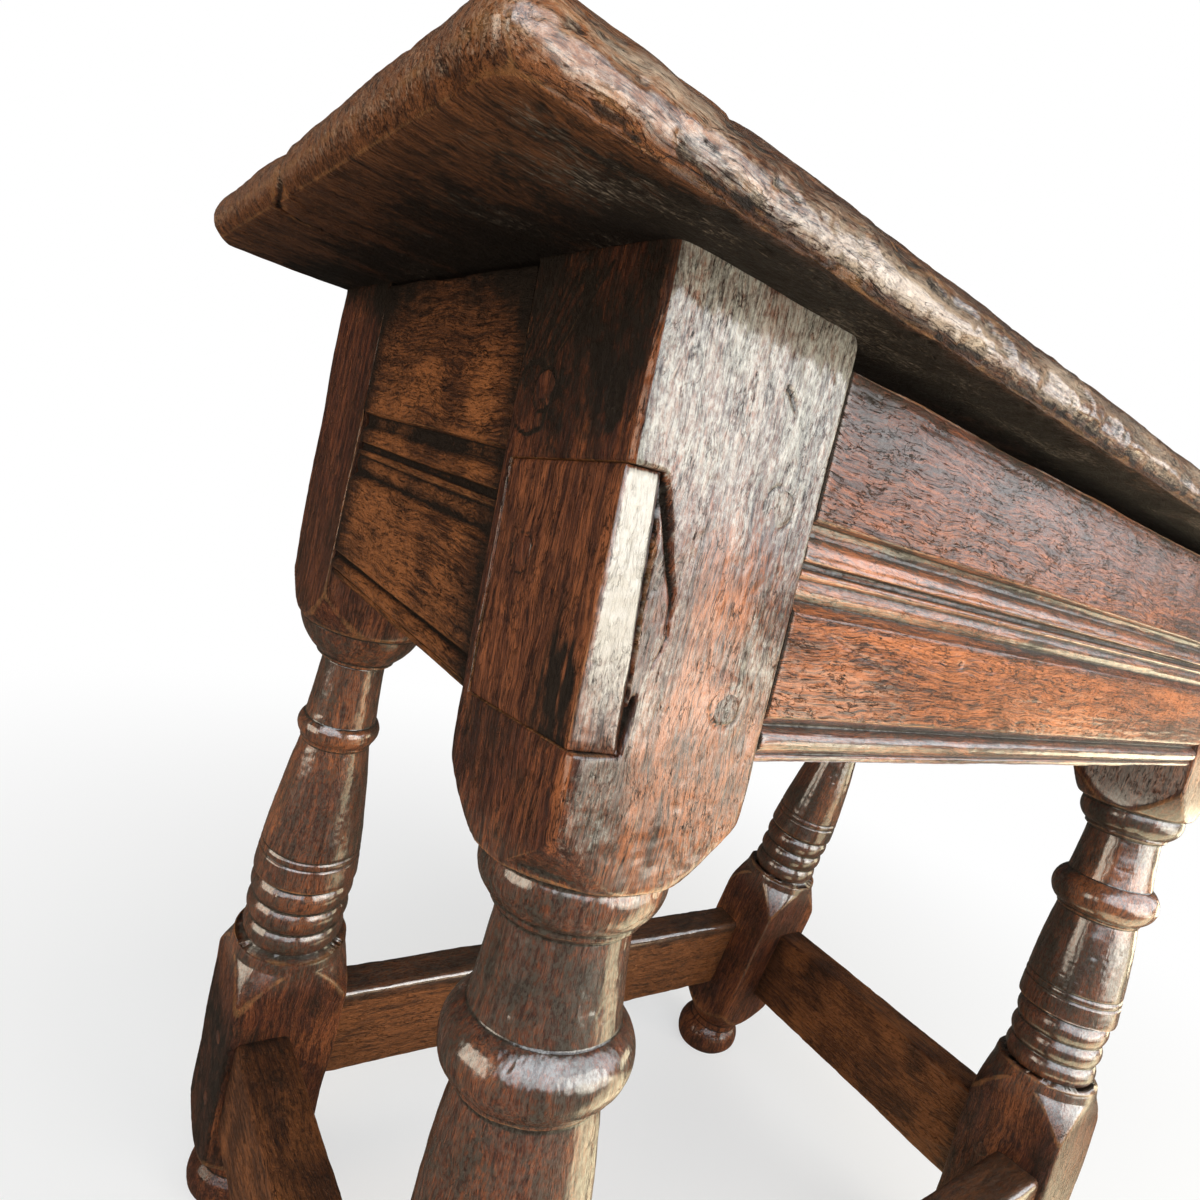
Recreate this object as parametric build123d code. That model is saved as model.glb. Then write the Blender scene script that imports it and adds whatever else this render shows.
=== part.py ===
from build123d import *
import os
from math import cos, radians, sin

# A joined stool: a moulded board seat on four turned legs that lean out towards the long sides,
# with four moulded rails under the seat and four plain stretchers near the floor, all tenoned
# into the legs and held by wooden pegs. Millimetres and degrees. +Z is up, the front faces -Y,
# and the origin lies on the floor below the middle of the seat.

# Frame
seat_height = 487.0          # floor to the underside of the seat
frame_length = 442.0         # over the legs, along X, under the seat
frame_depth = 217.0          # over the legs, along Y, under the seat
splay = 5.8                  # lean of the legs towards the long sides, degrees
leg_width = 55.0             # square section of the leg's blocks

# Seat board
seat_thickness = 22.0
seat_front_overhang = 19.0
seat_back_overhang = 1.0
seat_end_overhang = 46.0
nose_projection = 1.2        # how far the rounded nose stands past the lower arris
end_nose_projection = 3.0    # the same at the ends
nose_height = 4.0            # height of the nose above the underside
nose_step = 2.4              # small step from the thumb moulding to the flat top
front_thumb = 30.0           # width of the thumb moulding along the front
back_thumb = 16.0
end_thumb = 20.0

# Rails under the seat
rail_thickness = 26.0
long_rail_gap = 6.0          # open joint between the seat and the long rails
long_rail_height = 95.5
end_rail_gap = 1.0
end_rail_height = 104.3
long_tenon_setback = 9.0     # from the long rail's outer face to its tenon
end_tenon_setback = 13.0     # from the end rail's outer face to its tenon
rail_tenon_shoulder = 10.0   # above and below the tenon

# Run mouldings on the rails, heights from the rail's lower edge
long_band_top = 60.7
long_band_width = 22.1
long_lip_height = 12.3
end_band_top = 61.6
end_band_width = 24.5
end_lip_height = 9.6

# Stretchers
stretcher_clearance = 74.5   # floor to the stretchers
stretcher_height = 62.0
stretcher_thickness = 26.0
stretcher_inset = 4.0        # from the leg's outer face
stretcher_arris = 2.5        # worn upper edges
stretcher_tenon_setback = 8.0
stretcher_tenon_shoulder = 4.0

# Tenons and pegs
tenon_thickness = 9.0
tenon_length = 30.0
tenon_clearance = 0.1        # round the tenon in its mortise
mortise_end_gap = 0.6        # past the end of the tenon
peg_diameter = 9.2
peg_clearance = 0.1          # round the peg in its hole
rail_peg_length = 46.0
long_rail_pegs = ((13.1, 41.0), (14.9, 87.4))   # inset from the shoulder, drop along the leg
end_rail_pegs = ((14.8, 25.3), (18.1, 62.4))
stretcher_peg_inset = 17.0   # from the shoulder
stretcher_peg_spread = 42.5  # between the two pegs of an end stretcher
top_peg_diameter = 9.2
top_peg_margin = 0.9         # between a seat peg and the tenons and pegs beside it

# Corner patch let into the front left leg
patch_drop = 41.0            # from the seat to the patch, along the leg
patch_height = 58.5
patch_width = 50.0           # across the end face
patch_depth_top = 8.0
patch_depth_bottom = 11.5
patch_chamfer = 3.0          # worn corner, measured on the end face
patch_clearance = 0.1

# Turnings: the blocks and the shared mouldings
front_block_reach = 11.0     # square corners past the long rail's lower edge
back_block_reach = 4.5
foot_block_reach = 14.5      # square corners past the stretcher, above and below
block_end = 21.0             # length of the rounded end of the upper block
foot_block_end = 28.5        # length of the rounded ends of the lower block
block_end_radius = 28.0
quirk = 0.8                  # width of the narrow sunk steps
vase_bulge = 1.0             # swell of the long vase past a straight taper
ring_count = 3
ring_length = 12.6
ring_radius = 24.2
ring_groove_radius = 22.3
ring_groove = 1.0
ring_collar_length = 7.0
ring_collar_radius = 27.2

# Front turning, the stout pair
front_bead_length = 15.2
front_bead_radius = 24.9     # at the top of the bead
front_bead_waist = 24.9      # past its middle
front_bead_end_radius = 20.4
front_shaft_length = 25.5
front_shaft_radius = 18.3
front_shaft_end_radius = 21.2
front_collar_length = 20.0
front_collar_radius = 27.0
front_neck_radius = 20.5
front_vase_radius = 26.0

# Back turning, the slender pair
back_bead_length = 15.4
back_bead_radius = 26.2
back_bead_waist = 22.6
back_bead_end_radius = 17.0
back_shaft_length = 29.5
back_shaft_radius = 13.6
back_shaft_end_radius = 15.8
back_collar_length = 9.5
back_collar_radius = 18.3
back_neck_radius = 15.4
back_vase_radius = 24.4

# Turned foot
foot_neck_length = 6.0
foot_neck_radius = 20.0
foot_radius = 26.0
foot_sole_radius = 21.0

# Worked out from the sizes above
half_leg = leg_width / 2
lean = radians(splay)
shoulder_x = frame_length / 2 - leg_width
block_radius = leg_width * 0.75
hole_radius = peg_diameter / 2 + peg_clearance
top_peg_inset = end_tenon_setback + tenon_thickness + top_peg_margin + top_peg_diameter / 2
top_peg_depth = end_rail_pegs[0][1] - peg_diameter / 2 - top_peg_margin
stretcher_top = stretcher_clearance + stretcher_height


def axis_drop(height):
    """Drop along a leg's middle line, below the seat, at a height above the floor."""
    return (seat_height - half_leg * sin(lean) - height) / cos(lean)


def face_drop(height, inset):
    """Drop along a leg, at a height above the floor and an inset from its leaning outer face."""
    return (seat_height - inset * sin(lean) - height) / cos(lean)


def long_side(x):
    """Frame of the front legs: Y square to the leaning face, Z along the leg, from the seat."""
    y = half_leg * cos(lean) - frame_depth / 2
    z = seat_height - half_leg * sin(lean)
    return Pos(x, y, z) * Rot(-splay, 0, 0)


def front_left_leg_frame():
    return long_side(half_leg - frame_length / 2)


def to_corner(piece, side, face):
    """Carry a piece of the front left corner to another corner of the frame."""
    if (side, face) == ("right", "back"):
        return Rot(0, 0, 180) * piece
    if side == "right":
        return mirror(piece, about=Plane.YZ)
    if face == "back":
        return mirror(piece, about=Plane.XZ)
    return piece


def block(x_range, y_range, z_range):
    """Box from its limits along each axis."""
    size = [abs(limits[1] - limits[0]) for limits in (x_range, y_range, z_range)]
    middle = [sum(limits) / 2 for limits in (x_range, y_range, z_range)]
    return Pos(*middle) * Box(*size)


# Seat


def thumb_section(low, high, low_thumb, high_thumb, nose, plane, length):
    """Seat section with a thumb moulding on both edges, drawn out to the seat's other size."""
    step_height = seat_thickness - nose_step
    high_inner = high + nose - high_thumb
    low_inner = low - nose + low_thumb
    rise = step_height - nose_height
    with BuildSketch(plane) as section:
        with BuildLine():
            Polyline((low - nose, nose_height), (low, 0), (high, 0), (high + nose, nose_height))
            EllipticalCenterArc((high_inner, nose_height), high_thumb, rise, start_angle=0, arc_size=90)
            Polyline((high_inner, step_height), (high_inner, seat_thickness), (low_inner, seat_thickness))
            Line((low_inner, seat_thickness), (low_inner, step_height))
            EllipticalCenterArc((low_inner, nose_height), low_thumb, rise, start_angle=90, arc_size=90)
        make_face()
    return extrude(section.sketch, length / 2, both=True)


def top_peg_place():
    """Middle of the front left top peg, on the seat's underside."""
    return Pos(top_peg_inset - frame_length / 2, top_peg_inset - frame_depth / 2, seat_height)


def top_peg(extra=0.0):
    height = seat_thickness + top_peg_depth
    peg = Cylinder(top_peg_diameter / 2 + extra, height, align=(Align.CENTER, Align.CENTER, Align.MIN))
    return top_peg_place() * Pos(0, 0, -top_peg_depth) * peg


def seat_board():
    front = -frame_depth / 2 - seat_front_overhang
    back = frame_depth / 2 + seat_back_overhang
    end = frame_length / 2 + seat_end_overhang
    reach = 2 * (end + frame_depth)
    along = thumb_section(front, back, front_thumb, back_thumb, nose_projection, Plane.YZ, reach)
    across = thumb_section(-end, end, end_thumb, end_thumb, end_nose_projection, Plane.XZ, reach)
    board = Pos(0, 0, seat_height) * (along & across)
    for side, face in corners:
        board -= to_corner(top_peg(peg_clearance), side, face)
    return board


# Rails and stretchers


def rail_section(height, thickness, band_top, band_width, lip_height):
    """Rail section: depth into the board and height from the lower edge, outer face at zero."""

    def band(share):
        return band_top - share * band_width

    def lip(share):
        return lip_height * (1 - share)

    with BuildSketch() as section:
        with BuildLine():
            Polyline((0, band_top), (0, height), (thickness, height), (thickness, 0), (1.2, 0))
            Polyline((1.2, 0), (1.2, lip(0.81)), (2.0, lip(0.8)))
            ThreePointArc((2.0, lip(0.8)), (0.1, lip(0.6)), (1.0, lip(0.3)))
            Polyline((1.0, lip(0.3)), (2.8, lip(0.2)), (1.6, lip(0.1)), (0, lip_height), (0, band(1.0)))
            Polyline((0, band(1.0)), (0.4, band(0.98)), (2.6, band(0.87)))
            ThreePointArc((2.6, band(0.87)), (1.5, band(0.75)), (2.0, band(0.63)))
            Polyline((2.0, band(0.63)), (0.9, band(0.6)), (0.9, band(0.54)), (2.6, band(0.52)))
            Polyline((2.6, band(0.52)), (2.6, band(0.45)), (0.7, band(0.43)), (0.9, band(0.38)))
            ThreePointArc((0.9, band(0.38)), (1.3, band(0.25)), (2.7, band(0.17)))
            ThreePointArc((2.7, band(0.17)), (2.7, band(0.1)), (2.2, band(0.03)))
            Line((2.2, band(0.03)), (0, band_top))
        make_face()
    return section.sketch


def plain_section(height, thickness, arris):
    """Stretcher section with its two upper edges worn round, outer face at zero."""
    with BuildSketch() as section:
        with BuildLine():
            Polyline((arris, height), (thickness - arris, height))
            ThreePointArc(
                (thickness - arris, height),
                (thickness - arris * 0.3, height - arris * 0.3),
                (thickness, height - arris),
            )
            Polyline((thickness, height - arris), (thickness, 0), (0, 0), (0, height - arris))
            ThreePointArc((0, height - arris), (arris * 0.3, height - arris * 0.3), (arris, height))
        make_face()
    return section.sketch


def long_tenon_limits(setback, inset, bottom, height, shoulder, grow=0.0):
    """Limits of a long rail's tenon in the front left leg's frame, grown for its mortise."""
    end = half_leg - tenon_length - (mortise_end_gap if grow else 0.0)
    near = inset + setback - half_leg
    return (
        (end, half_leg),
        (near - grow, near + tenon_thickness + grow),
        (bottom + shoulder - grow, bottom + height - shoulder + grow),
    )


def end_tenon_limits(setback, inset, bottom, height, shoulder, grow=0.0):
    """Limits of an end rail's tenon in the front left leg's frame, grown for its mortise."""
    x_range, y_range, z_range = long_tenon_limits(setback, inset, bottom, height, shoulder, grow)
    return y_range, x_range, z_range


def long_rail_tenon():
    bottom = -(long_rail_gap / cos(lean) + long_rail_height)
    return long_tenon_setback, 0.0, bottom, long_rail_height, rail_tenon_shoulder


def end_rail_tenon():
    low = -face_drop(seat_height - end_rail_gap - end_rail_height, leg_width)
    return end_tenon_setback, 0.0, low, end_rail_height, rail_tenon_shoulder


def long_stretcher_tenon():
    low = -face_drop(stretcher_clearance, stretcher_inset)
    return stretcher_tenon_setback, stretcher_inset, low, stretcher_height, stretcher_tenon_shoulder


def end_stretcher_tenon():
    low = -face_drop(stretcher_clearance, leg_width)
    return stretcher_tenon_setback, stretcher_inset, low, stretcher_height, stretcher_tenon_shoulder


def long_bar(section, inset, bottom, tenon):
    """Front rail or stretcher: a board parallel to the leaning face, with a tenon at each end."""
    board = extrude(Plane.YZ * section, shoulder_x, both=True)
    board = long_side(0) * Pos(0, inset - half_leg, bottom) * board
    bar = board
    for side in ("left", "right"):
        x_range, y_range, z_range = long_tenon_limits(*tenon)
        root = (x_range[0], x_range[1] + tenon_thickness)
        stub = front_left_leg_frame() * block(root, y_range, z_range)
        bar += to_corner(stub, side, "front")
    return bar


def end_bar(section, inset, bottom, tenon):
    """Left rail or stretcher: an upright board whose shoulders lean with the legs."""
    across = extrude(Plane.XZ * section, frame_depth, both=True)
    board = Pos(inset - frame_length / 2, 0, bottom) * across
    reach = seat_height + frame_depth
    beyond = block((-leg_width, leg_width * 2), (-reach, half_leg), (-reach, reach))
    for face in ("front", "back"):
        board -= to_corner(front_left_leg_frame() * beyond, "left", face)
    bar = board
    for face in ("front", "back"):
        x_range, y_range, z_range = end_tenon_limits(*tenon)
        root = (y_range[0], y_range[1] + tenon_thickness)
        stub = front_left_leg_frame() * block(x_range, root, z_range)
        bar += to_corner(stub, "left", face)
    return bar


def long_rail():
    section = rail_section(long_rail_height, rail_thickness, long_band_top, long_band_width, long_lip_height)
    bar = long_bar(section, 0.0, long_rail_tenon()[2], long_rail_tenon())
    return cut_for_pegs(bar, "long_rail")


def end_rail():
    section = rail_section(end_rail_height, rail_thickness, end_band_top, end_band_width, end_lip_height)
    bottom = seat_height - end_rail_gap - end_rail_height
    bar = end_bar(section, 0.0, bottom, end_rail_tenon())
    return cut_for_pegs(bar, "end_rail")


def long_stretcher():
    section = plain_section(stretcher_height, stretcher_thickness, stretcher_arris)
    bar = long_bar(section, stretcher_inset, long_stretcher_tenon()[2], long_stretcher_tenon())
    return cut_for_pegs(bar, "long_stretcher")


def end_stretcher():
    section = plain_section(stretcher_height, stretcher_thickness, stretcher_arris)
    bar = end_bar(section, stretcher_inset, stretcher_clearance, end_stretcher_tenon())
    return cut_for_pegs(bar, "end_stretcher")


# Pegs


def stretcher_pegs(spread):
    """Insets and drops of a stretcher's two pegs, spread about its middle height."""
    middle = axis_drop(stretcher_clearance + stretcher_height / 2)
    return ((stretcher_peg_inset, middle - spread / 2), (stretcher_peg_inset, middle + spread / 2))


def peg_rows():
    """For each kind of joint: its pegs' insets and drops, the peg's length, and whether it runs along X."""
    return {
        "long_rail": (long_rail_pegs, rail_peg_length, False),
        "end_rail": (end_rail_pegs, rail_peg_length, True),
        "long_stretcher": (stretcher_pegs(stretcher_peg_spread / 2), leg_width, False),
        "end_stretcher": (stretcher_pegs(stretcher_peg_spread), leg_width, True),
    }


def peg_solids(joint, radius):
    """Pegs of one joint in the front left leg, upper first."""
    rows, length, runs_along_x = peg_rows()[joint]
    pegs = []
    for inset, drop in rows:
        across = half_leg - inset
        peg = Cylinder(radius, length, align=(Align.CENTER, Align.CENTER, Align.MIN))
        if runs_along_x:
            placed = Pos(-half_leg, across, -drop) * Rot(0, 90, 0) * peg
        else:
            placed = Pos(across, -half_leg, -drop) * Rot(-90, 0, 0) * peg
        pegs.append(front_left_leg_frame() * placed)
    return pegs


def cut_for_pegs(bar, joint):
    """Bore the peg holes through the tenons at both ends of a bar."""
    other_end = ("right", "front") if joint.startswith("long") else ("left", "back")
    for side, face in (("left", "front"), other_end):
        for hole in peg_solids(joint, hole_radius):
            bar -= to_corner(hole, side, face)
    return bar


# Legs


def block_drops(block_reach):
    """Drops where the upper block's corners end and where the lower block's corners start and end."""
    upper = -long_rail_tenon()[2] + block_reach
    start = axis_drop(stretcher_top) - foot_block_reach
    end = axis_drop(stretcher_clearance) + foot_block_reach
    return upper, start, end


def turned_outline(reach, bead, bead_length, bead_waist, bead_end, shaft, shaft_length, shaft_end,
                   collar, collar_length, neck, vase):
    """Half outline of a turned leg, radius against drop, as a face beside the axis."""
    upper, lower, foot = block_drops(reach)
    floor = axis_drop(0)
    sole = floor + leg_width
    rings = ring_collar_length + ring_count * ring_length
    vase_end = lower - foot_block_end - rings - 3 * quirk
    line = []

    def to(radius, drop):
        line.append(Line(line[-1] @ 1, (radius, -drop)))
        return drop

    def curve(middle_radius, middle_drop, radius, drop):
        line.append(ThreePointArc(line[-1] @ 1, (middle_radius, -middle_drop), (radius, -drop)))
        return drop

    with BuildSketch(Plane.XZ) as half:
        with BuildLine():
            line.append(Line((0, leg_width), (block_radius, leg_width)))
            drop = to(block_radius, upper)
            drop = to(block_end_radius, drop + block_end)
            drop = to(bead, drop + quirk)
            drop = to(bead, drop + quirk)
            drop = curve(bead_waist, drop + bead_length * 0.6, bead_end, drop + bead_length)
            drop = to(bead_end, drop + 2 * quirk)
            drop = to(shaft, drop + 2 * quirk)
            hollow = shaft + 0.4 * (shaft_end - shaft)
            drop = curve(hollow, drop + shaft_length / 2, shaft_end, drop + shaft_length)
            drop = to(shaft_end + quirk, drop + quirk / 2)
            drop = curve(collar, drop + collar_length / 2, neck + quirk, drop + collar_length)
            drop = to(neck + quirk, drop + 2 * quirk)
            drop = to(neck, drop + quirk)
            drop = curve((neck + vase) / 2 + vase_bulge, (drop + vase_end) / 2, vase, vase_end)
            drop = to(vase, drop + 2 * quirk)
            drop = to(ring_groove_radius, drop + quirk)
            for ring in range(ring_count):
                drop = to(ring_groove_radius, drop + ring_groove)
                bottom = drop + ring_length - ring_groove
                drop = curve(ring_radius, (drop + bottom) / 2, ring_groove_radius, bottom)
            drop = to(ring_collar_radius, drop + quirk)
            drop = to(block_end_radius, lower - foot_block_end)
            drop = to(block_radius, lower)
            drop = to(block_radius, foot)
            drop = to(foot_neck_radius, foot + foot_block_end)
            drop = to(foot_neck_radius, drop + foot_neck_length)
            drop = curve(foot_radius, (drop + floor) / 2, foot_sole_radius, floor)
            drop = to(foot_sole_radius, sole)
            to(0, sole)
            Line(line[-1] @ 1, (0, leg_width))
        make_face()
    return half.sketch


def front_outline():
    return turned_outline(
        front_block_reach, front_bead_radius, front_bead_length, front_bead_waist, front_bead_end_radius,
        front_shaft_radius, front_shaft_length, front_shaft_end_radius,
        front_collar_radius, front_collar_length, front_neck_radius, front_vase_radius,
    )


def back_outline():
    return turned_outline(
        back_block_reach, back_bead_radius, back_bead_length, back_bead_waist, back_bead_end_radius,
        back_shaft_radius, back_shaft_length, back_shaft_end_radius,
        back_collar_radius, back_collar_length, back_neck_radius, back_vase_radius,
    )


def leg(outline):
    """Front left leg with its mortises and peg holes, cut off at the seat and at the floor."""
    limits = (-half_leg, half_leg)
    stock = block(limits, limits, (-seat_height * 2, leg_width))
    body = revolve(outline, axis=Axis.Z) & stock
    grow = tenon_clearance
    body -= block(*long_tenon_limits(*long_rail_tenon(), grow))
    body -= block(*end_tenon_limits(*end_rail_tenon(), grow))
    body -= block(*long_tenon_limits(*long_stretcher_tenon(), grow))
    body -= block(*end_tenon_limits(*end_stretcher_tenon(), grow))
    body = front_left_leg_frame() * body
    reach = frame_length + frame_depth
    body &= block((-reach, reach), (-reach, reach), (0, seat_height))
    for joint in peg_rows():
        for hole in peg_solids(joint, hole_radius):
            body -= hole
    return body - top_peg(peg_clearance)


def patch_wedge(gap):
    """Wedge let into the leg's corner, deeper at its lower end, in the leg's frame."""
    top = -patch_drop + gap
    bottom = -patch_drop - patch_height - gap
    with BuildSketch(Plane.XZ) as section:
        with BuildLine():
            Polyline(
                (-half_leg, top),
                (patch_depth_top + gap - half_leg, top),
                (patch_depth_bottom + gap - half_leg, bottom),
                (-half_leg, bottom),
                (-half_leg, top),
            )
        make_face()
    wedge = extrude(section.sketch, -(patch_width + gap))
    return Pos(0, -half_leg, 0) * wedge


def corner_patch():
    """Repair piece with a worn, slanting corner, bored for the end rail's lower peg."""
    with BuildSketch() as corner:
        with BuildLine():
            Polyline((0, 0), (patch_depth_bottom, 0), (0, patch_chamfer), (0, 0))
        make_face()
    worn = extrude(corner.sketch, -seat_height)
    patch = patch_wedge(0.0) - Pos(-half_leg, -half_leg, 0) * worn
    patch = front_left_leg_frame() * patch
    for hole in peg_solids("end_rail", hole_radius):
        patch -= hole
    return patch


def patched_leg():
    return leg(front_outline()) - front_left_leg_frame() * patch_wedge(patch_clearance)


corners = (("left", "front"), ("right", "front"), ("left", "back"), ("right", "back"))


def assembly():
    """Every piece of the stool by its name."""
    pieces = {"seat_board": seat_board(), "corner_patch": corner_patch()}
    plain_legs = {"front": leg(front_outline()), "back": leg(back_outline())}
    for side, face in corners:
        patched = (side, face) == ("left", "front")
        post = patched_leg() if patched else to_corner(plain_legs[face], side, face)
        pieces[f"leg_{face}_{side}"] = post
        pieces[f"peg_seat_{face}_{side}"] = to_corner(top_peg(), side, face)
        for joint in peg_rows():
            kind = joint.split("_")[1]
            bar_name = f"{kind}_{face if joint.startswith('long') else side}"
            for place, peg in zip(("upper", "lower"), peg_solids(joint, peg_diameter / 2)):
                other = side if joint.startswith("long") else face
                pieces[f"peg_{bar_name}_{other}_{place}"] = to_corner(peg, side, face)
    for kind, long_piece, end_piece in (
        ("rail", long_rail(), end_rail()),
        ("stretcher", long_stretcher(), end_stretcher()),
    ):
        pieces[f"{kind}_front"] = long_piece
        pieces[f"{kind}_back"] = to_corner(long_piece, "left", "back")
        pieces[f"{kind}_left"] = end_piece
        pieces[f"{kind}_right"] = to_corner(end_piece, "right", "front")
    return pieces


if __name__ == "__main__":
    os.makedirs("parts", exist_ok=True)
    for name, piece in assembly().items():
        piece.label = name
        export_step(piece, f"parts/{name}.step")
        print(name, len(piece.solids()), round(piece.volume))
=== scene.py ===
from math import cos, sin, tan, radians, pi
import bpy
import numpy as np
from mathutils import Matrix, Vector


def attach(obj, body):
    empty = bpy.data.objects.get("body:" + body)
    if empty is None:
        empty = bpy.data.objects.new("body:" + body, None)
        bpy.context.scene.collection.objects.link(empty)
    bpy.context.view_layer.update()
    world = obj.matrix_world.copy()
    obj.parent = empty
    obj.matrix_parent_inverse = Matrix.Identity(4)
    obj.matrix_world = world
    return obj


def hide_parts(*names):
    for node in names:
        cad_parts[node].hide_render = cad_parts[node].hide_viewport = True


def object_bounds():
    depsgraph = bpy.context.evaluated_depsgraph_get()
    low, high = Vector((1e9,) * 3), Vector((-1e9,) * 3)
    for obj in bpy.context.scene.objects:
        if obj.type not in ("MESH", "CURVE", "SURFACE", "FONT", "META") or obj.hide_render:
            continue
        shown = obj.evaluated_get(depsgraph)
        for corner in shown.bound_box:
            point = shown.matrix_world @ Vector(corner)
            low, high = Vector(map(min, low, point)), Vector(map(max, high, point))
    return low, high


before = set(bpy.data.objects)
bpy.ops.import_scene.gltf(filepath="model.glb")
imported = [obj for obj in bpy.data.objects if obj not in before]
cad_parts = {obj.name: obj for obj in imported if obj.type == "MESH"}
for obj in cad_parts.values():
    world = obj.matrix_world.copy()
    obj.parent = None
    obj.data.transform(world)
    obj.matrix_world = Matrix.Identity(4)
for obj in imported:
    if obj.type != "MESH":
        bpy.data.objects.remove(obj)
cadBox = [list(corner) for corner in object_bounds()]

mm = 0.001   # shapes are worked out in millimetres and put down in metres

# sizes of the frame, the same as the solids have
stool = {
    "seatHeight": 487.0,
    "length": 442.0,
    "depth": 217.0,
    "lean": radians(5.8),
    "legWidth": 55.0,
    "railThickness": 26.0,
}
halfLeg = stool["legWidth"] / 2
lean = stool["lean"]
seatHeight = stool["seatHeight"]
halfLength, halfDepth = stool["length"] / 2, stool["depth"] / 2
grainStep = 7.3   # how far apart the figure of one piece and the next is taken from the wood
shoulderX = halfLength - stool["legWidth"]
bedding = 0.4   # how far a hidden end runs into the piece beside it
corners = (("left", "front"), ("right", "front"), ("left", "back"), ("right", "back"))


# noise and smoothing

def latticeValue(ix, iy, iz, seed):
    mixed = (ix * 374761393 + iy * 668265263 + iz * 1274126177 + seed * 951274213) & 0xFFFFFFFF
    mixed = ((mixed ^ (mixed >> 13)) * 1103515245) & 0xFFFFFFFF
    mixed = ((mixed ^ (mixed >> 16)) * 2654435761) & 0xFFFFFFFF
    return ((mixed ^ (mixed >> 15)) & 0xFFFF) / 65535.0


def softNoise(points, cell, seed):
    # smooth noise from -1 to 1 whose features are about one cell wide
    scaled = points / np.asarray(cell, float)
    whole = np.floor(scaled).astype(np.int64)
    part = scaled - whole
    blend = part ** 3 * (part * (part * 6 - 15) + 10)
    total = 0.0
    for dx in (0, 1):
        for dy in (0, 1):
            for dz in (0, 1):
                weight = 1.0
                for axis, step in enumerate((dx, dy, dz)):
                    weight = weight * (blend[..., axis] if step else 1 - blend[..., axis])
                total = total + weight * latticeValue(
                    whole[..., 0] + dx, whole[..., 1] + dy, whole[..., 2] + dz, seed)
    return total * 2 - 1


def layeredNoise(points, cell, layers, seed):
    total, weight = 0.0, 1.0
    for layer in range(layers):
        total = total + weight * softNoise(points, np.asarray(cell, float) * weight, seed + layer * 17)
        weight *= 0.5
    return total


def ease(low, high, value):
    share = np.clip((value - low) / (high - low), 0, 1)
    return share * share * (3 - 2 * share)


def spread(start, end, spacing):
    # evenly spaced values with both ends in
    count = max(2, int(round(abs(end - start) / spacing)) + 1)
    return np.linspace(start, end, count)


def runs(*steps):
    # evenly spaced runs end to end, given as value, spacing, value, spacing, value
    values = np.concatenate([spread(*run) for run in zip(steps[::2], steps[2::2], steps[1::2])])
    return values[np.concatenate(([True], np.abs(np.diff(values)) > 1e-6))]


def edged(reach, rim, fine, coarse):
    # runs from -reach to reach, finer along both rims
    return runs(-reach, fine, rim - reach, coarse, reach - rim, fine, reach)


def throughArc(start, middle, end, spacing):
    # points on the arc through three points, its start left out
    (ax, ay), (bx, by), (cx, cy) = start, middle, end
    turn = 2 * (ax * (by - cy) + bx * (cy - ay) + cx * (ay - by))
    a2, b2, c2 = ax * ax + ay * ay, bx * bx + by * by, cx * cx + cy * cy
    ux = (a2 * (by - cy) + b2 * (cy - ay) + c2 * (ay - by)) / turn
    uy = (a2 * (cx - bx) + b2 * (ax - cx) + c2 * (bx - ax)) / turn
    radius = np.hypot(ax - ux, ay - uy)
    first, mid, last = (np.arctan2(y - uy, x - ux) for x, y in (start, middle, end))
    sweep = (last - first) % (2 * pi)
    if (mid - first) % (2 * pi) > sweep:
        sweep -= 2 * pi
    steps = max(4, int(abs(sweep) * radius / spacing))
    angles = first + sweep * np.arange(1, steps + 1) / steps
    return [(ux + radius * cos(a), uy + radius * sin(a)) for a in angles]


def denser(line, spacing):
    # a bent line with points added until none are further apart than the spacing
    points = [line[0]]
    for (ax, ay), (bx, by) in zip(line, line[1:]):
        steps = max(1, int(np.ceil(np.hypot(bx - ax, by - ay) / spacing)))
        for step in range(1, steps + 1):
            share = step / steps
            points.append((ax + (bx - ax) * share, ay + (by - ay) * share))
    return points


def gridFacing(points):
    # how a grid of closed columns and rows along the piece faces, and whether that is outward
    across = np.roll(points, -1, axis=1) - np.roll(points, 1, axis=1)
    facing = np.cross(across, np.gradient(points, axis=0))
    return facing, ((points - points.mean(axis=1, keepdims=True)) * facing).sum() > 0


def gridNormals(points):
    facing, outward = gridFacing(points)
    normal = facing / np.maximum(np.linalg.norm(facing, axis=2, keepdims=True), 1e-9)
    return normal if outward else -normal


def relax(points, rounds):
    # average each point with its neighbours on the grid
    for turn in range(rounds):
        side = (np.roll(points, 1, axis=1) + np.roll(points, -1, axis=1)) / 2
        down = points.copy()
        down[1:-1] = (points[2:] + points[:-2]) / 2
        points = (side + down) / 2
    return points


# meshes

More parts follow.
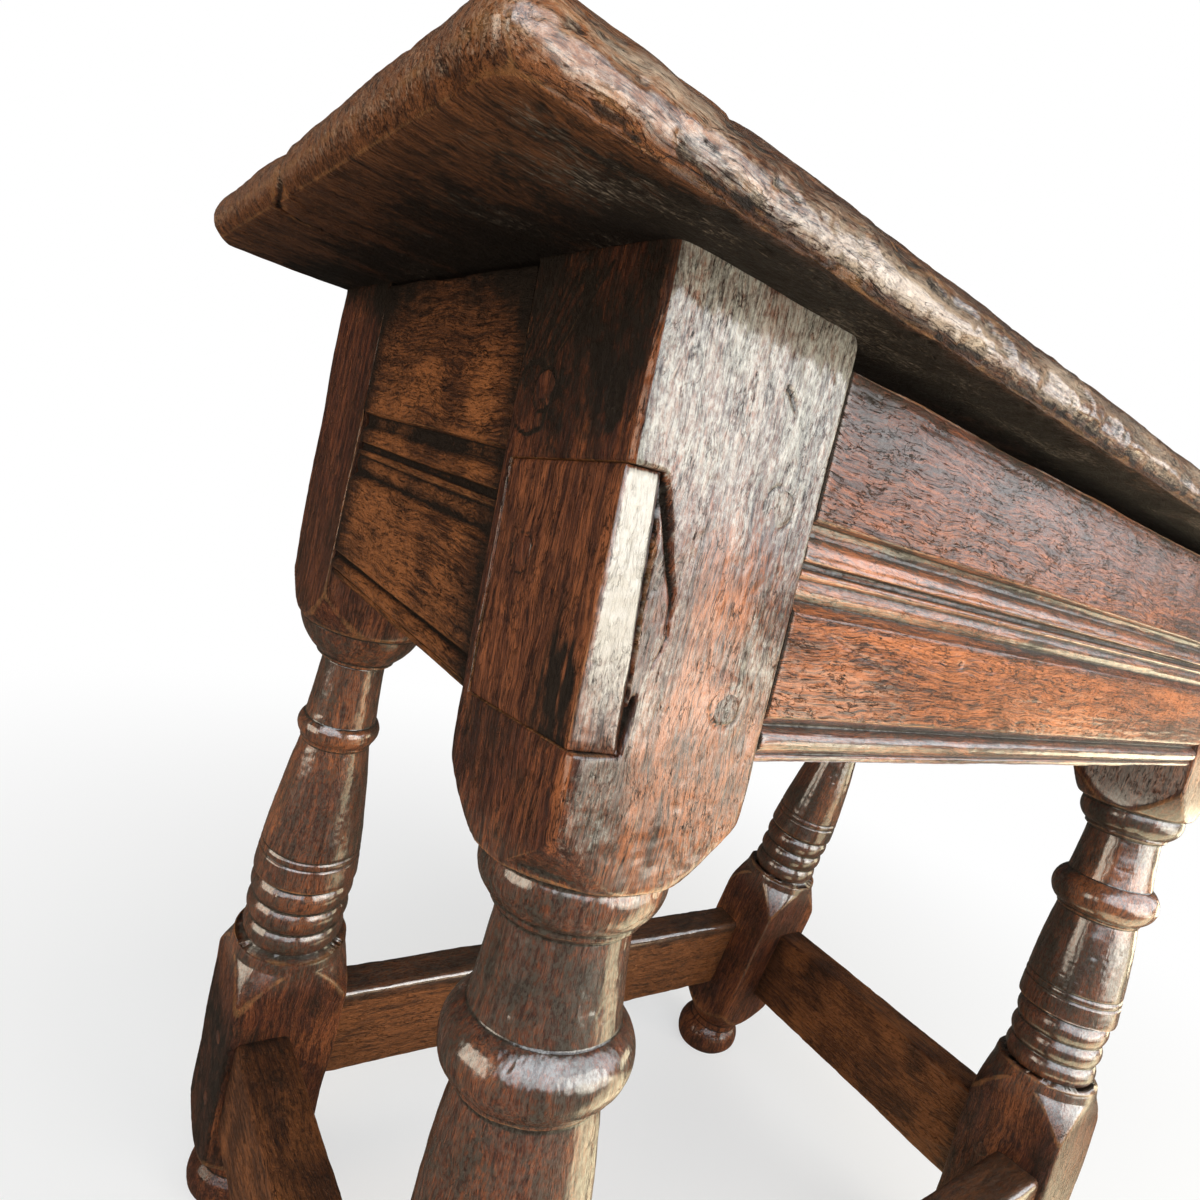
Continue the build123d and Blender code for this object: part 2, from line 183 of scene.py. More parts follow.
def gridPiece(name, points, marks):
    # closed tube of quads with a fan at each end; marks are named numbers for every point
    rows, columns = points.shape[:2]
    caps = np.array([points[0].mean(axis=0), points[-1].mean(axis=0)])
    vertices = np.clip(np.vstack([points.reshape(-1, 3), caps]) * mm, cadBox[0], cadBox[1])
    row, column = np.meshgrid(np.arange(rows - 1), np.arange(columns), indexing="ij")
    right = (column + 1) % columns
    quads = np.stack([row * columns + column, row * columns + right,
                      (row + 1) * columns + right, (row + 1) * columns + column], axis=-1).reshape(-1, 4)
    ring = np.arange(columns)
    last = (rows - 1) * columns
    start = np.stack([np.full(columns, rows * columns), (ring + 1) % columns, ring], axis=-1)
    end = np.stack([np.full(columns, rows * columns + 1), last + ring, last + (ring + 1) % columns], axis=-1)
    triangles = np.vstack([start, end])
    if not gridFacing(points)[1]:
        quads = quads[:, ::-1]
        triangles = triangles[:, ::-1]
    mesh = bpy.data.meshes.new(name)
    mesh.vertices.add(len(vertices))
    mesh.vertices.foreach_set("co", vertices.ravel())
    loops = np.concatenate([quads.ravel(), triangles.ravel()])
    mesh.loops.add(len(loops))
    mesh.loops.foreach_set("vertex_index", loops)
    starts = np.concatenate([np.arange(len(quads)) * 4, len(quads) * 4 + np.arange(len(triangles)) * 3])
    mesh.polygons.add(len(starts))
    mesh.polygons.foreach_set("loop_start", starts)
    mesh.polygons.foreach_set("use_smooth", np.ones(len(starts), bool))
    mesh.update(calc_edges=True)
    for label, values in marks.items():
        wide = values.ndim == 3
        layer = mesh.attributes.new(label, "FLOAT_VECTOR" if wide else "FLOAT", "POINT")
        ends = np.array([values[0].mean(axis=0), values[-1].mean(axis=0)])
        flat = np.concatenate([values.ravel(), ends.ravel()])
        layer.data.foreach_set("vector" if wide else "value", flat)
    piece = bpy.data.objects.new(name, mesh)
    bpy.context.collection.objects.link(piece)
    return piece


def wornGrid(points, seed, wear, sink=0.0, calm=1.0):
    # hand-worked and worn surface: sunk marks, long waves, dents, grain ridges, pits and rounded arrises;
    # calm is near zero where the surface has to stay level, such as round a peg
    normals = gridNormals(points)
    points = points - normals * (np.zeros(points.shape[:2]) + sink)[..., None]
    size = wear["size"]
    shift = wear["wave"] * layeredNoise(points, size, 2, seed)
    shift = shift + wear["dent"] * layeredNoise(points, size / 8, 3, seed + 5)
    shift = shift + wear["ridge"] * layeredNoise(points, wear["grain"], 2, seed + 9)
    shift = shift - wear["pit"] * ease(0.5, 1.0, layeredNoise(points, size / 10, 2, seed + 31))
    edge = ((points - relax(points, wear["blur"])) * normals).sum(axis=2)
    rub = np.clip(1 + 0.8 * softNoise(points, size / 2, seed + 43), 0, 2)
    shift = shift - np.clip(edge, 0, 0.6) * wear["round"] * rub
    points = points + normals * (shift * calm)[..., None]
    edge = edge / wear["edge"]
    return points, {"rubbed": np.clip(edge, 0, 1), "hollow": np.clip(-edge, 0, 1)}


def nearLine(u, v, path):
    # distance to a bent line, and the line's width at the nearest place
    best = np.full(u.shape, 1e9)
    width = np.zeros(u.shape)
    for (u0, v0, w0), (u1, v1, w1) in zip(path, path[1:]):
        du, dv = u1 - u0, v1 - v0
        share = np.clip(((u - u0) * du + (v - v0) * dv) / (du * du + dv * dv), 0, 1)
        distance = np.hypot(u - u0 - share * du, v - v0 - share * dv)
        width = np.where(distance < best, w0 + (w1 - w0) * share, width)
        best = np.minimum(best, distance)
    return best, width


def cutAlong(u, v, path, depth, widen=1.5, core=0.0):
    # depth of a cut along a bent line, full within its core and fading at the widened edge
    distance, width = nearLine(u, v, path)
    return depth * ease(width * widen, width * core, distance)


def addPiece(name, points, marks, slotName, finish=None):
    piece = gridPiece(name + "_oak", points, marks)
    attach(piece, "root")
    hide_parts(name)
    piece.data.materials.append(finishes[finish or slotName])


def toCorner(points, side, face):
    # a piece of the front left corner carried to another corner
    return points * np.array([1 if side == "left" else -1, 1 if face == "front" else -1, 1])


def fromLeg(points):
    # the front left leg's own frame to the stool's frame
    x, y, z = points[..., 0], points[..., 1], points[..., 2]
    baseX = halfLeg - halfLength
    baseY = halfLeg * cos(lean) - halfDepth
    baseZ = seatHeight - halfLeg * sin(lean)
    across, up = y * cos(lean) + z * sin(lean), z * cos(lean) - y * sin(lean)
    return np.stack([baseX + x, baseY + across, baseZ + up], axis=-1)


def dropAt(height, inset):
    # how far down a leg a height above the floor lies, at an inset from its outer leaning face
    return (seatHeight - inset * sin(lean) - height) / cos(lean)


def shoulderY(height):
    # where the inner face of the front legs stands at a height above the floor
    z = (height - seatHeight + stool["legWidth"] * sin(lean)) / cos(lean)
    return stool["legWidth"] * cos(lean) - halfDepth + z * sin(lean)


def backShave(drop):
    # the back legs' outer faces, planed away towards their lower ends
    return legs["backShave"] * ease(0, 110, drop)


# rails and stretchers

rails = {
    "long": {"gap": 6.0, "height": 95.5, "bandTop": 60.7, "bandWidth": 22.1, "lip": 12.3},
    "end": {"gap": 1.0, "height": 104.3, "bandTop": 61.6, "bandWidth": 24.5, "lip": 9.6},
    "fine": 0.5,
    "coarse": 1.0,
    "inset": 0.15,
    "seam": 0.15,
    "scratches": ([(70, 66.5, 0.8), (104, 75.5, 0.5)], [(120, 68, 0.8), (146, 71, 0.5)]),
    "pinhole": (137.0, 68.8),
    "wear": {"size": 46.0, "wave": 0.2, "dent": 0.035, "ridge": 0.05, "grain": (14.0, 0.8, 0.8), "pit": 0.05,
             "blur": 3, "round": 0.9, "edge": 0.16},
}
stretchers = {
    "clearance": 74.5,
    "height": 62.0,
    "thickness": 26.0,
    "inset": 4.0,
    "arris": 3.6,
    "spacing": 1.1,
    "seam": 0.4,
    "wear": {"size": 60.0, "wave": 0.5, "dent": 0.18, "ridge": 0.05, "grain": (18.0, 1.4, 1.4), "pit": 0.25,
             "blur": 5, "round": 1.0, "edge": 0.25},
}


def railSection(size, spacing):
    # closed section as depth and height, from the lower edge up the moulded face and down the back
    top, width, lipHeight, height = size["bandTop"], size["bandWidth"], size["lip"], size["height"]

    def band(share):
        return top - share * width

    def lip(share):
        return lipHeight * (1 - share)

    line = [(1.2, 0), (1.2, lip(0.81)), (2.0, lip(0.8))]
    line += throughArc((2.0, lip(0.8)), (0.1, lip(0.6)), (1.0, lip(0.3)), spacing)
    line += [(2.8, lip(0.2)), (1.6, lip(0.1)), (0, lipHeight)]
    line += [(0, band(1.0)), (0.4, band(0.98)), (2.6, band(0.87))]
    line += throughArc((2.6, band(0.87)), (1.5, band(0.75)), (2.0, band(0.63)), spacing)
    line += [(0.9, band(0.6)), (0.9, band(0.54)), (2.6, band(0.52)), (2.6, band(0.45)), (0.7, band(0.43)),
             (0.9, band(0.38))]
    line += throughArc((0.9, band(0.38)), (1.3, band(0.25)), (2.7, band(0.17)), spacing)
    line += throughArc((2.7, band(0.17)), (2.7, band(0.1)), (2.2, band(0.03)), spacing)
    line += [(0, top), (0, height)]
    thick = stool["railThickness"]
    face = denser(line, spacing)
    back = denser([(0, height), (thick, height), (thick, 0), (1.2, 0)], 5.0)
    return np.array(face + back[1:-1])


def plainSection():
    high, thick, arris = (stretchers[key] for key in ("height", "thickness", "arris"))
    under, part = high - arris, arris * 0.3
    line = [(0, 0), (0, under)]
    line += throughArc((0, under), (part, high - part), (arris, high), 0.5)
    line += [(thick - arris, high)]
    line += throughArc((thick - arris, high), (thick - part, high - part), (thick, under), 0.5)
    line += [(thick, 0), (0, 0)]
    return np.array(denser(line, stretchers["spacing"])[:-1])


def sweep(stations, section, size, bottom):
    # grids of the place along a bar, the depth behind the leg's face and the height
    along, depth = np.meshgrid(stations, section[:, 0] + size["inset"], indexing="ij")
    return along, depth, 0 * along + section[:, 1] + bottom


def longBar(name, size, section, bottom, stations, seed, tones, extraSink=None):
    # a board parallel to the leaning legs, swept along X
    kind, face = name.split("_")
    x, depth, z = sweep(stations, section, size, bottom)
    y = depth - halfLeg
    if face == "back":
        y = y + backShave(-z) * ease(20, 0, section[:, 0])
    fromShoulder = shoulderX - np.abs(x)
    sink = size["seam"] * ease(1.1, 0.1, fromShoulder)
    if extraSink:
        sink = sink + extraSink(x, -z, y)
    clean = np.stack([x, y, z], axis=-1)
    points, marks = wornGrid(clean, seed, size["wear"], sink)
    marks["grain"] = clean[..., [2, 1, 0]] + seed * grainStep
    marks["rubbed"] = marks["rubbed"] * ease(0.8, 3.0, fromShoulder)
    tones(clean, marks)
    # painted shade where the bar meets the legs
    marks["soot"] = np.clip(marks.get("soot", 0) + 0.6 * ease(0.9, 0.2, fromShoulder), 0, 1)
    marks["polish"] = marks["polish"] * ease(0.2, 1.0, fromShoulder)
    world = fromLeg(points)
    world[..., 0] = points[..., 0]
    addPiece(name, toCorner(world, "left", face), marks, kind + "_oak")


def endBar(name, size, section, bottom, stations, seed, soot, finish=None):
    # an upright board between the leaning shoulders of two legs, swept along Y
    kind, side = name.split("_")
    share, depth, z = sweep(stations, section, size, bottom)
    reach = -shoulderY(z)
    y = share * (reach + bedding)
    fromShoulder, down = reach - np.abs(y), seatHeight - z
    across, along, up = size["wear"]["grain"]
    wear = dict(size["wear"], grain=(along, across, up))
    clean = np.stack([depth - halfLength, y, z], axis=-1)
    points, marks = wornGrid(clean, seed, wear, size["seam"] * ease(1.1, 0.1, fromShoulder))
    marks["grain"] = clean[..., [0, 2, 1]] + seed * grainStep
    # painted shade under the seat and where the board meets the legs
    paintedShade = 0.8 * ease(24, 2, down + 0.25 * fromShoulder) + 0.5 * ease(7, 0, fromShoulder)
    marks["soot"] = np.clip(soot * paintedShade, 0, 1)
    patchy = np.clip(0.6 + 0.6 * layeredNoise(clean, 22.0, 2, seed + 71), 0, 1)
    marks["glow"] = patchy * ease(3, 18, fromShoulder) * ease(14, 32, down)
    marks["rubbed"] = marks["rubbed"] * ease(0.8, 3.0, fromShoulder) * ease(2, 6, down)
    if finish:
        groove = section[:, 0] + 0 * y
        marks["soot"] = np.clip(marks["soot"] + 0.75 * ease(1.0, 2.3, groove) * (groove < 4), 0, 1)
    addPiece(name, toCorner(points, side, "front"), marks, kind + "_oak", finish)


def frontRailMarks(x, drop, depth):
    # two light scratches and a pinhole on the front rail
    u = x + halfLength
    sink = sum(cutAlong(u, drop, path, 0.12, 1.0) for path in rails["scratches"])
    hole = np.hypot(u - rails["pinhole"][0], drop - rails["pinhole"][1])
    return (sink + 1.2 * ease(1.1, 0.6, hole)) * (depth < 1 - halfLeg)


def longRailTones(points, marks):
    # a glossy upper field, dark polished mouldings, a redder lower field, darker in the groove, and painted
    # shade under the seat
    drop = -points[..., 2]
    low = rails["long"]["gap"] + rails["long"]["height"]
    bandTop = low - rails["long"]["bandTop"]
    bandLow = bandTop + rails["long"]["bandWidth"]
    lipTop = low - rails["long"]["lip"]
    patchy = np.clip(0.6 + 0.5 * layeredNoise(points, (60.0, 12.0, 12.0), 2, 97), 0, 1)
    inBand = ease(bandTop - 1, bandTop + 1, drop) * ease(bandLow + 1, bandLow - 1, drop)
    inLip = ease(lipTop - 1, lipTop + 1, drop)
    lower = ease(bandLow, bandLow + 3, drop) * (1 - inLip)
    marks["glow"] = patchy * (0.85 * lower + 0.35 * inBand + 0.3 * ease(bandTop - 26, bandTop - 4, drop))
    marks["glow"] = np.clip(marks["glow"], 0, 1)
    groove = points[..., 1] + halfLeg - rails["inset"]
    groove = ease(1.0, 2.3, groove) * (groove < 4)
    marks["soot"] = np.clip(0.1 * inBand + 0.45 * groove + 0.3 * ease(16, 6, drop), 0, 1)
    field = 0.12 * ease(bandTop - 6, bandTop - 26, drop)
    marks["polish"] = np.clip(0.22 + field + 0.5 * inBand + 0.6 * inLip, 0, 1)


def addRails():
    end = shoulderX + bedding
    near = runs(-end, 0.36, 1.8 - end, 0.95, -8, 2.6, end - 1.8, 0.6, end)
    far = edged(end, 1.8, 0.6, 2.4)
    low = -(rails["long"]["gap"] / cos(lean) + rails["long"]["height"])
    fine, coarse = (railSection(rails["long"], rails[key]) for key in ("fine", "coarse"))
    longBar("rail_front", rails, fine, low, near, 11, longRailTones, frontRailMarks)
    longBar("rail_back", rails, coarse, low, far, 23, longRailTones)
    low = seatHeight - rails["end"]["gap"] - rails["end"]["height"]
    fine, coarse = (railSection(rails["end"], rails[key]) for key in ("fine", "coarse"))
    endBar("rail_left", rails, fine, low, edged(1, 0.034, 0.006, 0.016), 37, 1.0, "end_rail")
    endBar("rail_right", rails, coarse, low, edged(1, 0.034, 0.011, 0.04), 41, 1.0, "end_rail")


def stretcherTones(points, marks):
    # feet have polished the top arrises
    above = -dropAt(stretchers["clearance"], stretchers["inset"]) + stretchers["height"] - points[..., 2]
    marks["polish"] = 0.3 + 0.7 * ease(6, 2, above)
    marks["glow"] = 0.9 * ease(3, 12, above)


def addStretchers():
    size, section = stretchers, plainSection()
    far = edged(shoulderX + bedding, 1.8, 0.6, 1.8)
    close = edged(1, 0.02, 0.008, 0.018)
    low = -dropAt(size["clearance"], size["inset"])
    for face, seed in (("front", 53), ("back", 59)):
        longBar("stretcher_" + face, size, section, low, far, seed, stretcherTones)
    for side, seed in (("left", 61), ("right", 67)):
        endBar("stretcher_" + side, size, section, size["clearance"], close, seed, 0.4)


# legs: square blocks and turned shafts

legs = {
    "backShave": 2.5,
    "blockEnd": 21.0, "blockEndRadius": 28.0, "footReach": 14.5, "footBlockEnd": 28.5,
    "quirk": 0.8, "vaseBulge": 1.0, "scribes": (15.0, 10.8),
    "rings": 3, "ringLength": 12.6, "ringRadius": 24.2, "ringGroove": 22.3, "ringGap": 1.0,
    "ringCollar": 7.0, "ringCollarRadius": 27.2,
    "footNeck": 6.0, "footNeckRadius": 20.0, "footRadius": 26.0, "soleRadius": 21.0,
    "front": {"reach": 11.0, "bead": 24.9, "beadLength": 13.2, "beadWaist": 24.6, "beadEnd": 20.4,
              "shaft": 18.3, "shaftLength": 27.5, "shaftEnd": 21.2,
              "collar": 27.0, "collarLength": 20.0, "neck": 20.5, "vase": 26.0},
    "back": {"reach": 4.5, "bead": 26.2, "beadLength": 15.4, "beadWaist": 22.6, "beadEnd": 17.0,
             "shaft": 13.6, "shaftLength": 29.5, "shaftEnd": 15.8,
             "collar": 18.3, "collarLength": 9.5, "neck": 15.4, "vase": 24.4},
    "wear": {"size": 40.0, "wave": 0.3, "dent": 0.07, "ridge": 0.055, "grain": (0.9, 0.9, 7.0), "pit": 0.1,
             "blur": 3, "round": 0.8, "edge": 0.2},
}


def lowerBlockDrop():
    return dropAt(stretchers["clearance"] + stretchers["height"], halfLeg) - legs["footReach"]


def vaseEndDrop():
    stack = legs["ringCollar"] + legs["rings"] * legs["ringLength"]
    return lowerBlockDrop() - legs["footBlockEnd"] - stack - 3 * legs["quirk"]


def turnedProfile(face):
    # drop and radius down a leg, as set out for the lathe
    own, quirk = legs[face], legs["quirk"]
    upper = rails["long"]["gap"] / cos(lean) + rails["long"]["height"] + own["reach"]
    lower, vaseEnd = lowerBlockDrop(), vaseEndDrop()
    foot = dropAt(stretchers["clearance"], halfLeg) + legs["footReach"]
    floor = dropAt(0, halfLeg)
    corner = stool["legWidth"] * 0.75
    line = [(0.0, corner), (upper, corner)]

    def to(length, radius):
        line.append((line[-1][0] + length, radius))

    def curve(share, middle, length, radius):
        drop = line[-1][0]
        line.extend(throughArc(line[-1], (drop + length * share, middle), (drop + length, radius), 0.6))

    to(legs["blockEnd"], legs["blockEndRadius"])
    to(quirk, own["bead"])
    to(quirk, own["bead"])
    curve((own["beadLength"] * 0.6 - quirk) / (own["beadLength"] - quirk), own["beadWaist"],
          own["beadLength"] - quirk, own["beadEnd"])
    to(2 * quirk, own["beadEnd"])
    to(2 * quirk, own["shaft"])
    curve(0.5, own["shaft"] + 0.4 * (own["shaftEnd"] - own["shaft"]), own["shaftLength"], own["shaftEnd"])
    to(quirk / 2, own["shaftEnd"] + quirk)
    curve(0.5, own["collar"], own["collarLength"], own["neck"] + quirk)
    to(2 * quirk, own["neck"] + quirk)
    to(quirk, own["neck"])
    curve(0.5, (own["neck"] + own["vase"]) / 2 + legs["vaseBulge"], vaseEnd - line[-1][0], own["vase"])
    to(2 * quirk, own["vase"])
    to(quirk, legs["ringGroove"])
    for ring in range(legs["rings"]):
        to(legs["ringGap"], legs["ringGroove"])
        curve(0.5, legs["ringRadius"], legs["ringLength"] - legs["ringGap"], legs["ringGroove"])
    to(quirk, legs["ringCollarRadius"])
    to(lower - legs["footBlockEnd"] - line[-1][0], legs["blockEndRadius"])
    to(legs["footBlockEnd"], corner)
    to(foot - lower, corner)
    to(legs["footBlockEnd"], legs["footNeckRadius"])
    to(legs["footNeck"], legs["footNeckRadius"])
    curve(0.5, legs["footRadius"], floor - line[-1][0], legs["soleRadius"])
    to(halfLeg, legs["soleRadius"])
    return np.array(line)


def blockColumns(left, front, far):
    # places round the square block, along the left face to the front, then on round
    h = halfLeg
    points = [(-h, v) for v in left[::-1][:-1]]
    points += [(v, -h) for v in front[:-1]]
    points += [(h, v) for v in far[:-1]]
    points += [(v, h) for v in far[::-1][:-1]]
    return np.array(points)


def legShape(face, rows, columns, sharp):
    # rows of points round the leg in its own frame; sharp sets how crisp the block's arrises are
    line = turnedProfile(face)
    end = dropAt(0, halfLeg)
    steps = (-0.9, -0.5, 0.0, 0.5, 0.9)
    scribed = [vaseEndDrop() - above + step for above in legs["scribes"] for step in steps]
    drops = np.unique(np.concatenate([rows, line[:, 0], scribed, [end]]).round(3))
    drops = drops[drops <= end]
    drops = drops[np.concatenate(([True], np.diff(drops) > 0.14))]
    drops[-1] = end
    radius = np.interp(drops, line[:, 0], line[:, 1])[:, None]
    angle = np.arctan2(columns[:, 1], columns[:, 0])[None, :]
    outer = halfLeg - (backShave(drops)[:, None] if face == "back" else 0)
    halfY = np.where(np.sin(angle) < 0, outer, halfLeg)
    power = sharp(drops[:, None], angle)
    square = (np.abs(np.cos(angle)) / halfLeg) ** power + (np.abs(np.sin(angle)) / halfY) ** power
    square = square ** (-1 / power)
    soft = 0.6   # rounding where the lathe's cut meets the flat faces
    share = np.clip(0.5 + 0.5 * (square - radius) / soft, 0, 1)
    reach = radius * share + square * (1 - share) - soft * share * (1 - share)
    x, y = reach * np.cos(angle), reach * np.sin(angle)
    z = -np.repeat(drops[:, None], len(columns), axis=1)
    z = z + np.clip(1 + z / 14, 0, 1) * ((halfLeg + y) * tan(lean) + 0.3)
    floorZ = -end + y * tan(lean)
    low = ease(14, 0, end + z)
    z = z * (1 - low) + (floorZ + end + z) * low
    return np.stack([x, y, np.maximum(z, floorZ)], axis=-1)


cornerPatch = {
    "drop": 41.0, "height": 58.5, "width": 50.0, "chamfer": 3.0, "bed": 4.8,
    "depthTop": 8.0, "depthBottom": 11.5,
    "wear": {"size": 26.0, "wave": 0.16, "dent": 0.06, "ridge": 0.035, "grain": (0.8, 0.8, 14.0),
             "pit": 0.08, "blur": 4, "round": 0.9, "edge": 0.14},
}

# marks on the front left leg, as places across and down its faces, in millimetres
legMarks = {
    "crack": [(7.9, 42.2, 0.5), (9.4, 46.0, 0.9), (10.8, 49.5, 1.0), (13.6, 57.0, 0.6), (16.6, 64.9, 0.5),
              (17.2, 73.5, 0.25), (15.6, 80.0, 0.15)],
    "splinter": [(9.6, 93.5, 0.3), (12.6, 87.5, 0.7), (12.0, 91.0, 1.1), (11.7, 98.1, 0.5)],
    "nick": [(35.4, 16.2, 0.3), (37.4, 17.2, 0.55), (39.6, 19.8, 0.3)],
    "knot": (11.0, 27.8, 2.6, 5.8),
    "tool": [[(21.0 + 3.4 * k, 1.0 + 0.5 * (k % 3), 0.45), (36.0 + 2.6 * k, 17.0 + 1.5 * (k % 2), 0.3)]
             for k in range(9)],
    "curl": [(53.0, 21.0, 0.4), (49.0, 18.5, 0.7), (43.0, 19.0, 0.8), (38.5, 23.0, 0.8), (37.0, 28.5, 0.7),
             (39.5, 34.0, 0.6), (45.5, 35.5, 0.5), (52.0, 33.0, 0.3)],
}


def onBlock(points):
    # places across the front and the left face, counted from the arris between them, and down the leg
    return points[..., 0] + halfLeg, points[..., 1] + halfLeg, -points[..., 2]


def patchDepth(drop):
    share = (drop - cornerPatch["drop"]) / cornerPatch["height"]
    return cornerPatch["depthTop"] + (cornerPatch["depthBottom"] - cornerPatch["depthTop"]) * share


def pegPlaces():
    # for each joint: insets from the shoulder, drops down the leg, peg length and whether it runs along X
    middle = dropAt(stretchers["clearance"] + stretchers["height"] / 2, halfLeg)
    inset, apart = 17.0, 42.5
    return {
        "rail_long": (((13.1, 41.0), (14.9, 87.4)), 46.0, False),
        "rail_end": (((14.8, 25.3), (18.1, 62.4)), 46.0, True),
        "stretcher_long": (((inset, middle - apart / 4), (inset, middle + apart / 4)), 55.0, False),
        "stretcher_end": (((inset, middle - apart / 2), (inset, middle + apart / 2)), 55.0, True),
    }


def fromPegs(points):
    # for each peg in the two outer faces, the distance from its axis and whether it runs along X
    for rows, length, alongX in pegPlaces().values():
        for inset, drop in rows:
            across = points[..., 1 if alongX else 0] - (halfLeg - inset)
            yield np.hypot(across, points[..., 2] + drop), alongX


def ringGrooves(points, onLeft, onFront):
    # narrow grooves round the pegs
    sink, broken = 0.0, np.clip(0.7 + softNoise(points, 4.0, 83), 0.15, 1)
    for distance, alongX in fromPegs(points):
        ring = np.exp(-((distance - 4.85) / 0.26) ** 2) * broken
        sink = sink + 0.35 * ring * (onLeft if alongX else onFront)
    return sink


def levelRoundPegs(points, onLeft):
    # near zero round the pegs, one elsewhere
    calm = 1.0
    for distance, alongX in fromPegs(points):
        calm = calm * (1 - (onLeft if alongX else 1 - onLeft) * ease(10.0, 5.0, distance))
    return calm


def frontLeftSink(points):
    # everything let into or worn from the front left leg, as a depth below its surface
    x, y, drop = onBlock(points)
    onFront = (y < 0.9) & (x > 0.9)
    onLeft = (x <= y)
    patch = cornerPatch
    top, bottom = patch["drop"] - 0.2, patch["drop"] + patch["height"] + 0.2
    inHeight = ease(top - 0.1, top + 0.12, drop) * ease(bottom + 0.1, bottom - 0.12, drop)
    overLeft = ease(patch["width"] + 0.35, patch["width"] + 0.1, y) * (x < 3)
    depth = patchDepth(drop)
    overFront = ease(depth + 0.35, depth + 0.1, x) * (y < 3)
    bed = patch["bed"] * inHeight * np.maximum(overLeft, overFront)
    wobble = 0.25 * softNoise(points, 2.2, 71) + 0.6 * softNoise(points, 8.0, 73)
    distance, width = nearLine(x + wobble, drop, legMarks["crack"])
    crack = 2.8 * ease(width * 1.5, width * 0.1, distance) * np.clip(width / 0.8, 0.3, 1)
    crack = np.maximum(crack, cutAlong(x + wobble * 0.6, drop, legMarks["splinter"], 2.6, 1.4, 0.1))
    between = ease(depth, depth + 1, x) * ease(56, 62, drop) * ease(98, 92, drop)
    splinter = 0.35 * between * ease(18, 12, x + 0.1 * (drop - 75))
    front = (crack + splinter + cutAlong(x, drop, legMarks["nick"], 0.9)) * onFront
    left = sum(cutAlong(y, drop, path, 0.3, 1.6) for path in legMarks["tool"])
    left = left + cutAlong(y + 0.8 * softNoise(points, 3.0, 79), drop, legMarks["curl"], 0.4)
    ky, kt, halfWide, halfTall = legMarks["knot"]
    ring = np.hypot((y - ky) / halfWide, (drop - kt) / halfTall) + 0.25 * softNoise(points, 2.5, 77)
    left = left + 0.5 * np.exp(-((ring - 1.0) / 0.16) ** 2) + 0.9 * ease(0.9, 0.3, ring)
    left = left * onLeft
    outside = 1 - np.clip(bed, 0, 1)
    return bed + (front + left + ringGrooves(points, onLeft * 1.0, onFront * 1.0)) * outside


def addLegTones(points, sink, marks):
    # where the front left leg is darkened by dirt and painted shade, where its red wood glows, where a
    # painted sheen lies on its front face, and no rubbed edges along the crack
    x, y, drop = onBlock(points)
    onFront, onLeft = (y < 6) & (x > y), (x < 6) & (x <= y)
    near = np.minimum(nearLine(x, drop, legMarks["crack"])[0], nearLine(x, drop, legMarks["splinter"])[0])
    calm = 1 - ease(3.4, 1.8, near) * onFront
    ky, kt, halfWide, halfTall = legMarks["knot"]
    knot = np.hypot((y - ky) / halfWide, (drop - kt) / halfTall)
    calm = calm * (1 - ease(1.8, 1.2, knot) * onLeft)
    marks["rubbed"] = marks["rubbed"] * calm
    marks["hollow"] = marks["hollow"] * (1 - 0.5 * ease(1.8, 1.2, knot) * onLeft)
    patchy = softNoise(points, (7.0, 7.0, 13.0), 95)
    streaky = softNoise(points, (2.2, 2.2, 18.0), 97)
    # painted sheen: pale cream standing in for a reflection over the top of the front face, along its sides,
    # below the patch and at its lower corner
    sheen = ease(60, 36, drop + 6 * patchy + 9 * streaky) * onFront
    rim = np.maximum(ease(38, 47, x + 4 * patchy), ease(27, 19, x + 2 * patchy))
    rim = rim * ease(106, 86, drop + 6 * streaky) * onFront
    below = ease(98, 103, drop) * ease(36, 10, x + 0.5 * (drop - 110) + 9 * patchy) * onFront
    below = below * ease(130, 120, drop)
    corner = ease(26, 46, x + 5 * patchy) * ease(108, 124, drop) * ease(136, 132, drop) * onFront
    marks["polish"] = np.clip(marks["polish"] + 0.22 * onFront + 0.1 * sheen, 0, 1)
    bareAndSheen = np.maximum(0.56 * sheen * (1 + 0.2 * patchy), 0.36 * rim * (1 + 0.4 * patchy))
    marks["bareAndSheen"] = np.maximum(bareAndSheen, np.maximum(0.28 * below, 0.4 * corner)) * (sink < 0.2)
    # darker in the crack and other sunk marks, with painted shade high on the left face under the seat
    soot = ease(0.7, 2.0, sink + 0 * x) * onFront + np.clip(sink / 0.4, 0, 1) * onLeft
    soot = soot + 0.12 * below
    dark = 0.45 * ease(46, 20, drop + 8 * patchy) * ease(2.0, 4.5, y)
    soot = soot + onLeft * (dark + ease(1.2, 0.9, knot))
    marks["soot"] = np.clip(marks["soot"] * (drop > 30) + soot, 0, 1)
    glow = ease(12, 24, x + 4 * patchy) * ease(36, 56, drop) * ease(150, 128, drop) * (1 - below)
    glow = glow * (1 - 0.6 * rim)
    arris = np.maximum(ease(5, 2.5, y) * ease(44, 38, drop), ease(6, 3, y) * ease(98, 103, drop))
    marks["glow"] = (glow * onFront * np.clip(0.8 + 0.6 * softNoise(points, 11.0, 91), 0, 1)
                     + onLeft * np.clip(0.5 * arris + 0.3 * patchy, 0, 1))


def cutFacets(points):
    # the diamond facet at the foot of the arris, and the knocked upper corner beside the rail
    z = points[..., 2]
    window = ease(117, 120, -z) * ease(134.5, 131, -z)
    facet = np.array([-0.592, -0.444, -0.672])
    start = np.array([-halfLeg, -halfLeg, -119.0])
    over = np.clip(((points - start) * facet).sum(axis=-1), 0, None) * window
    points = points - facet * over[..., None]
    x, y, z = points[..., 0], points[..., 1], points[..., 2]
    knock = np.array([0.45, -0.75, 0.48])
    start = np.array([halfLeg - 1.6, -halfLeg, -1.0])
    over = np.clip(((points - start) * knock).sum(axis=-1), 0, 4) * (z > -30) * (x > 10) * (y < -15)
    return points - knock * over[..., None] * np.array([1, 1, 0.3])


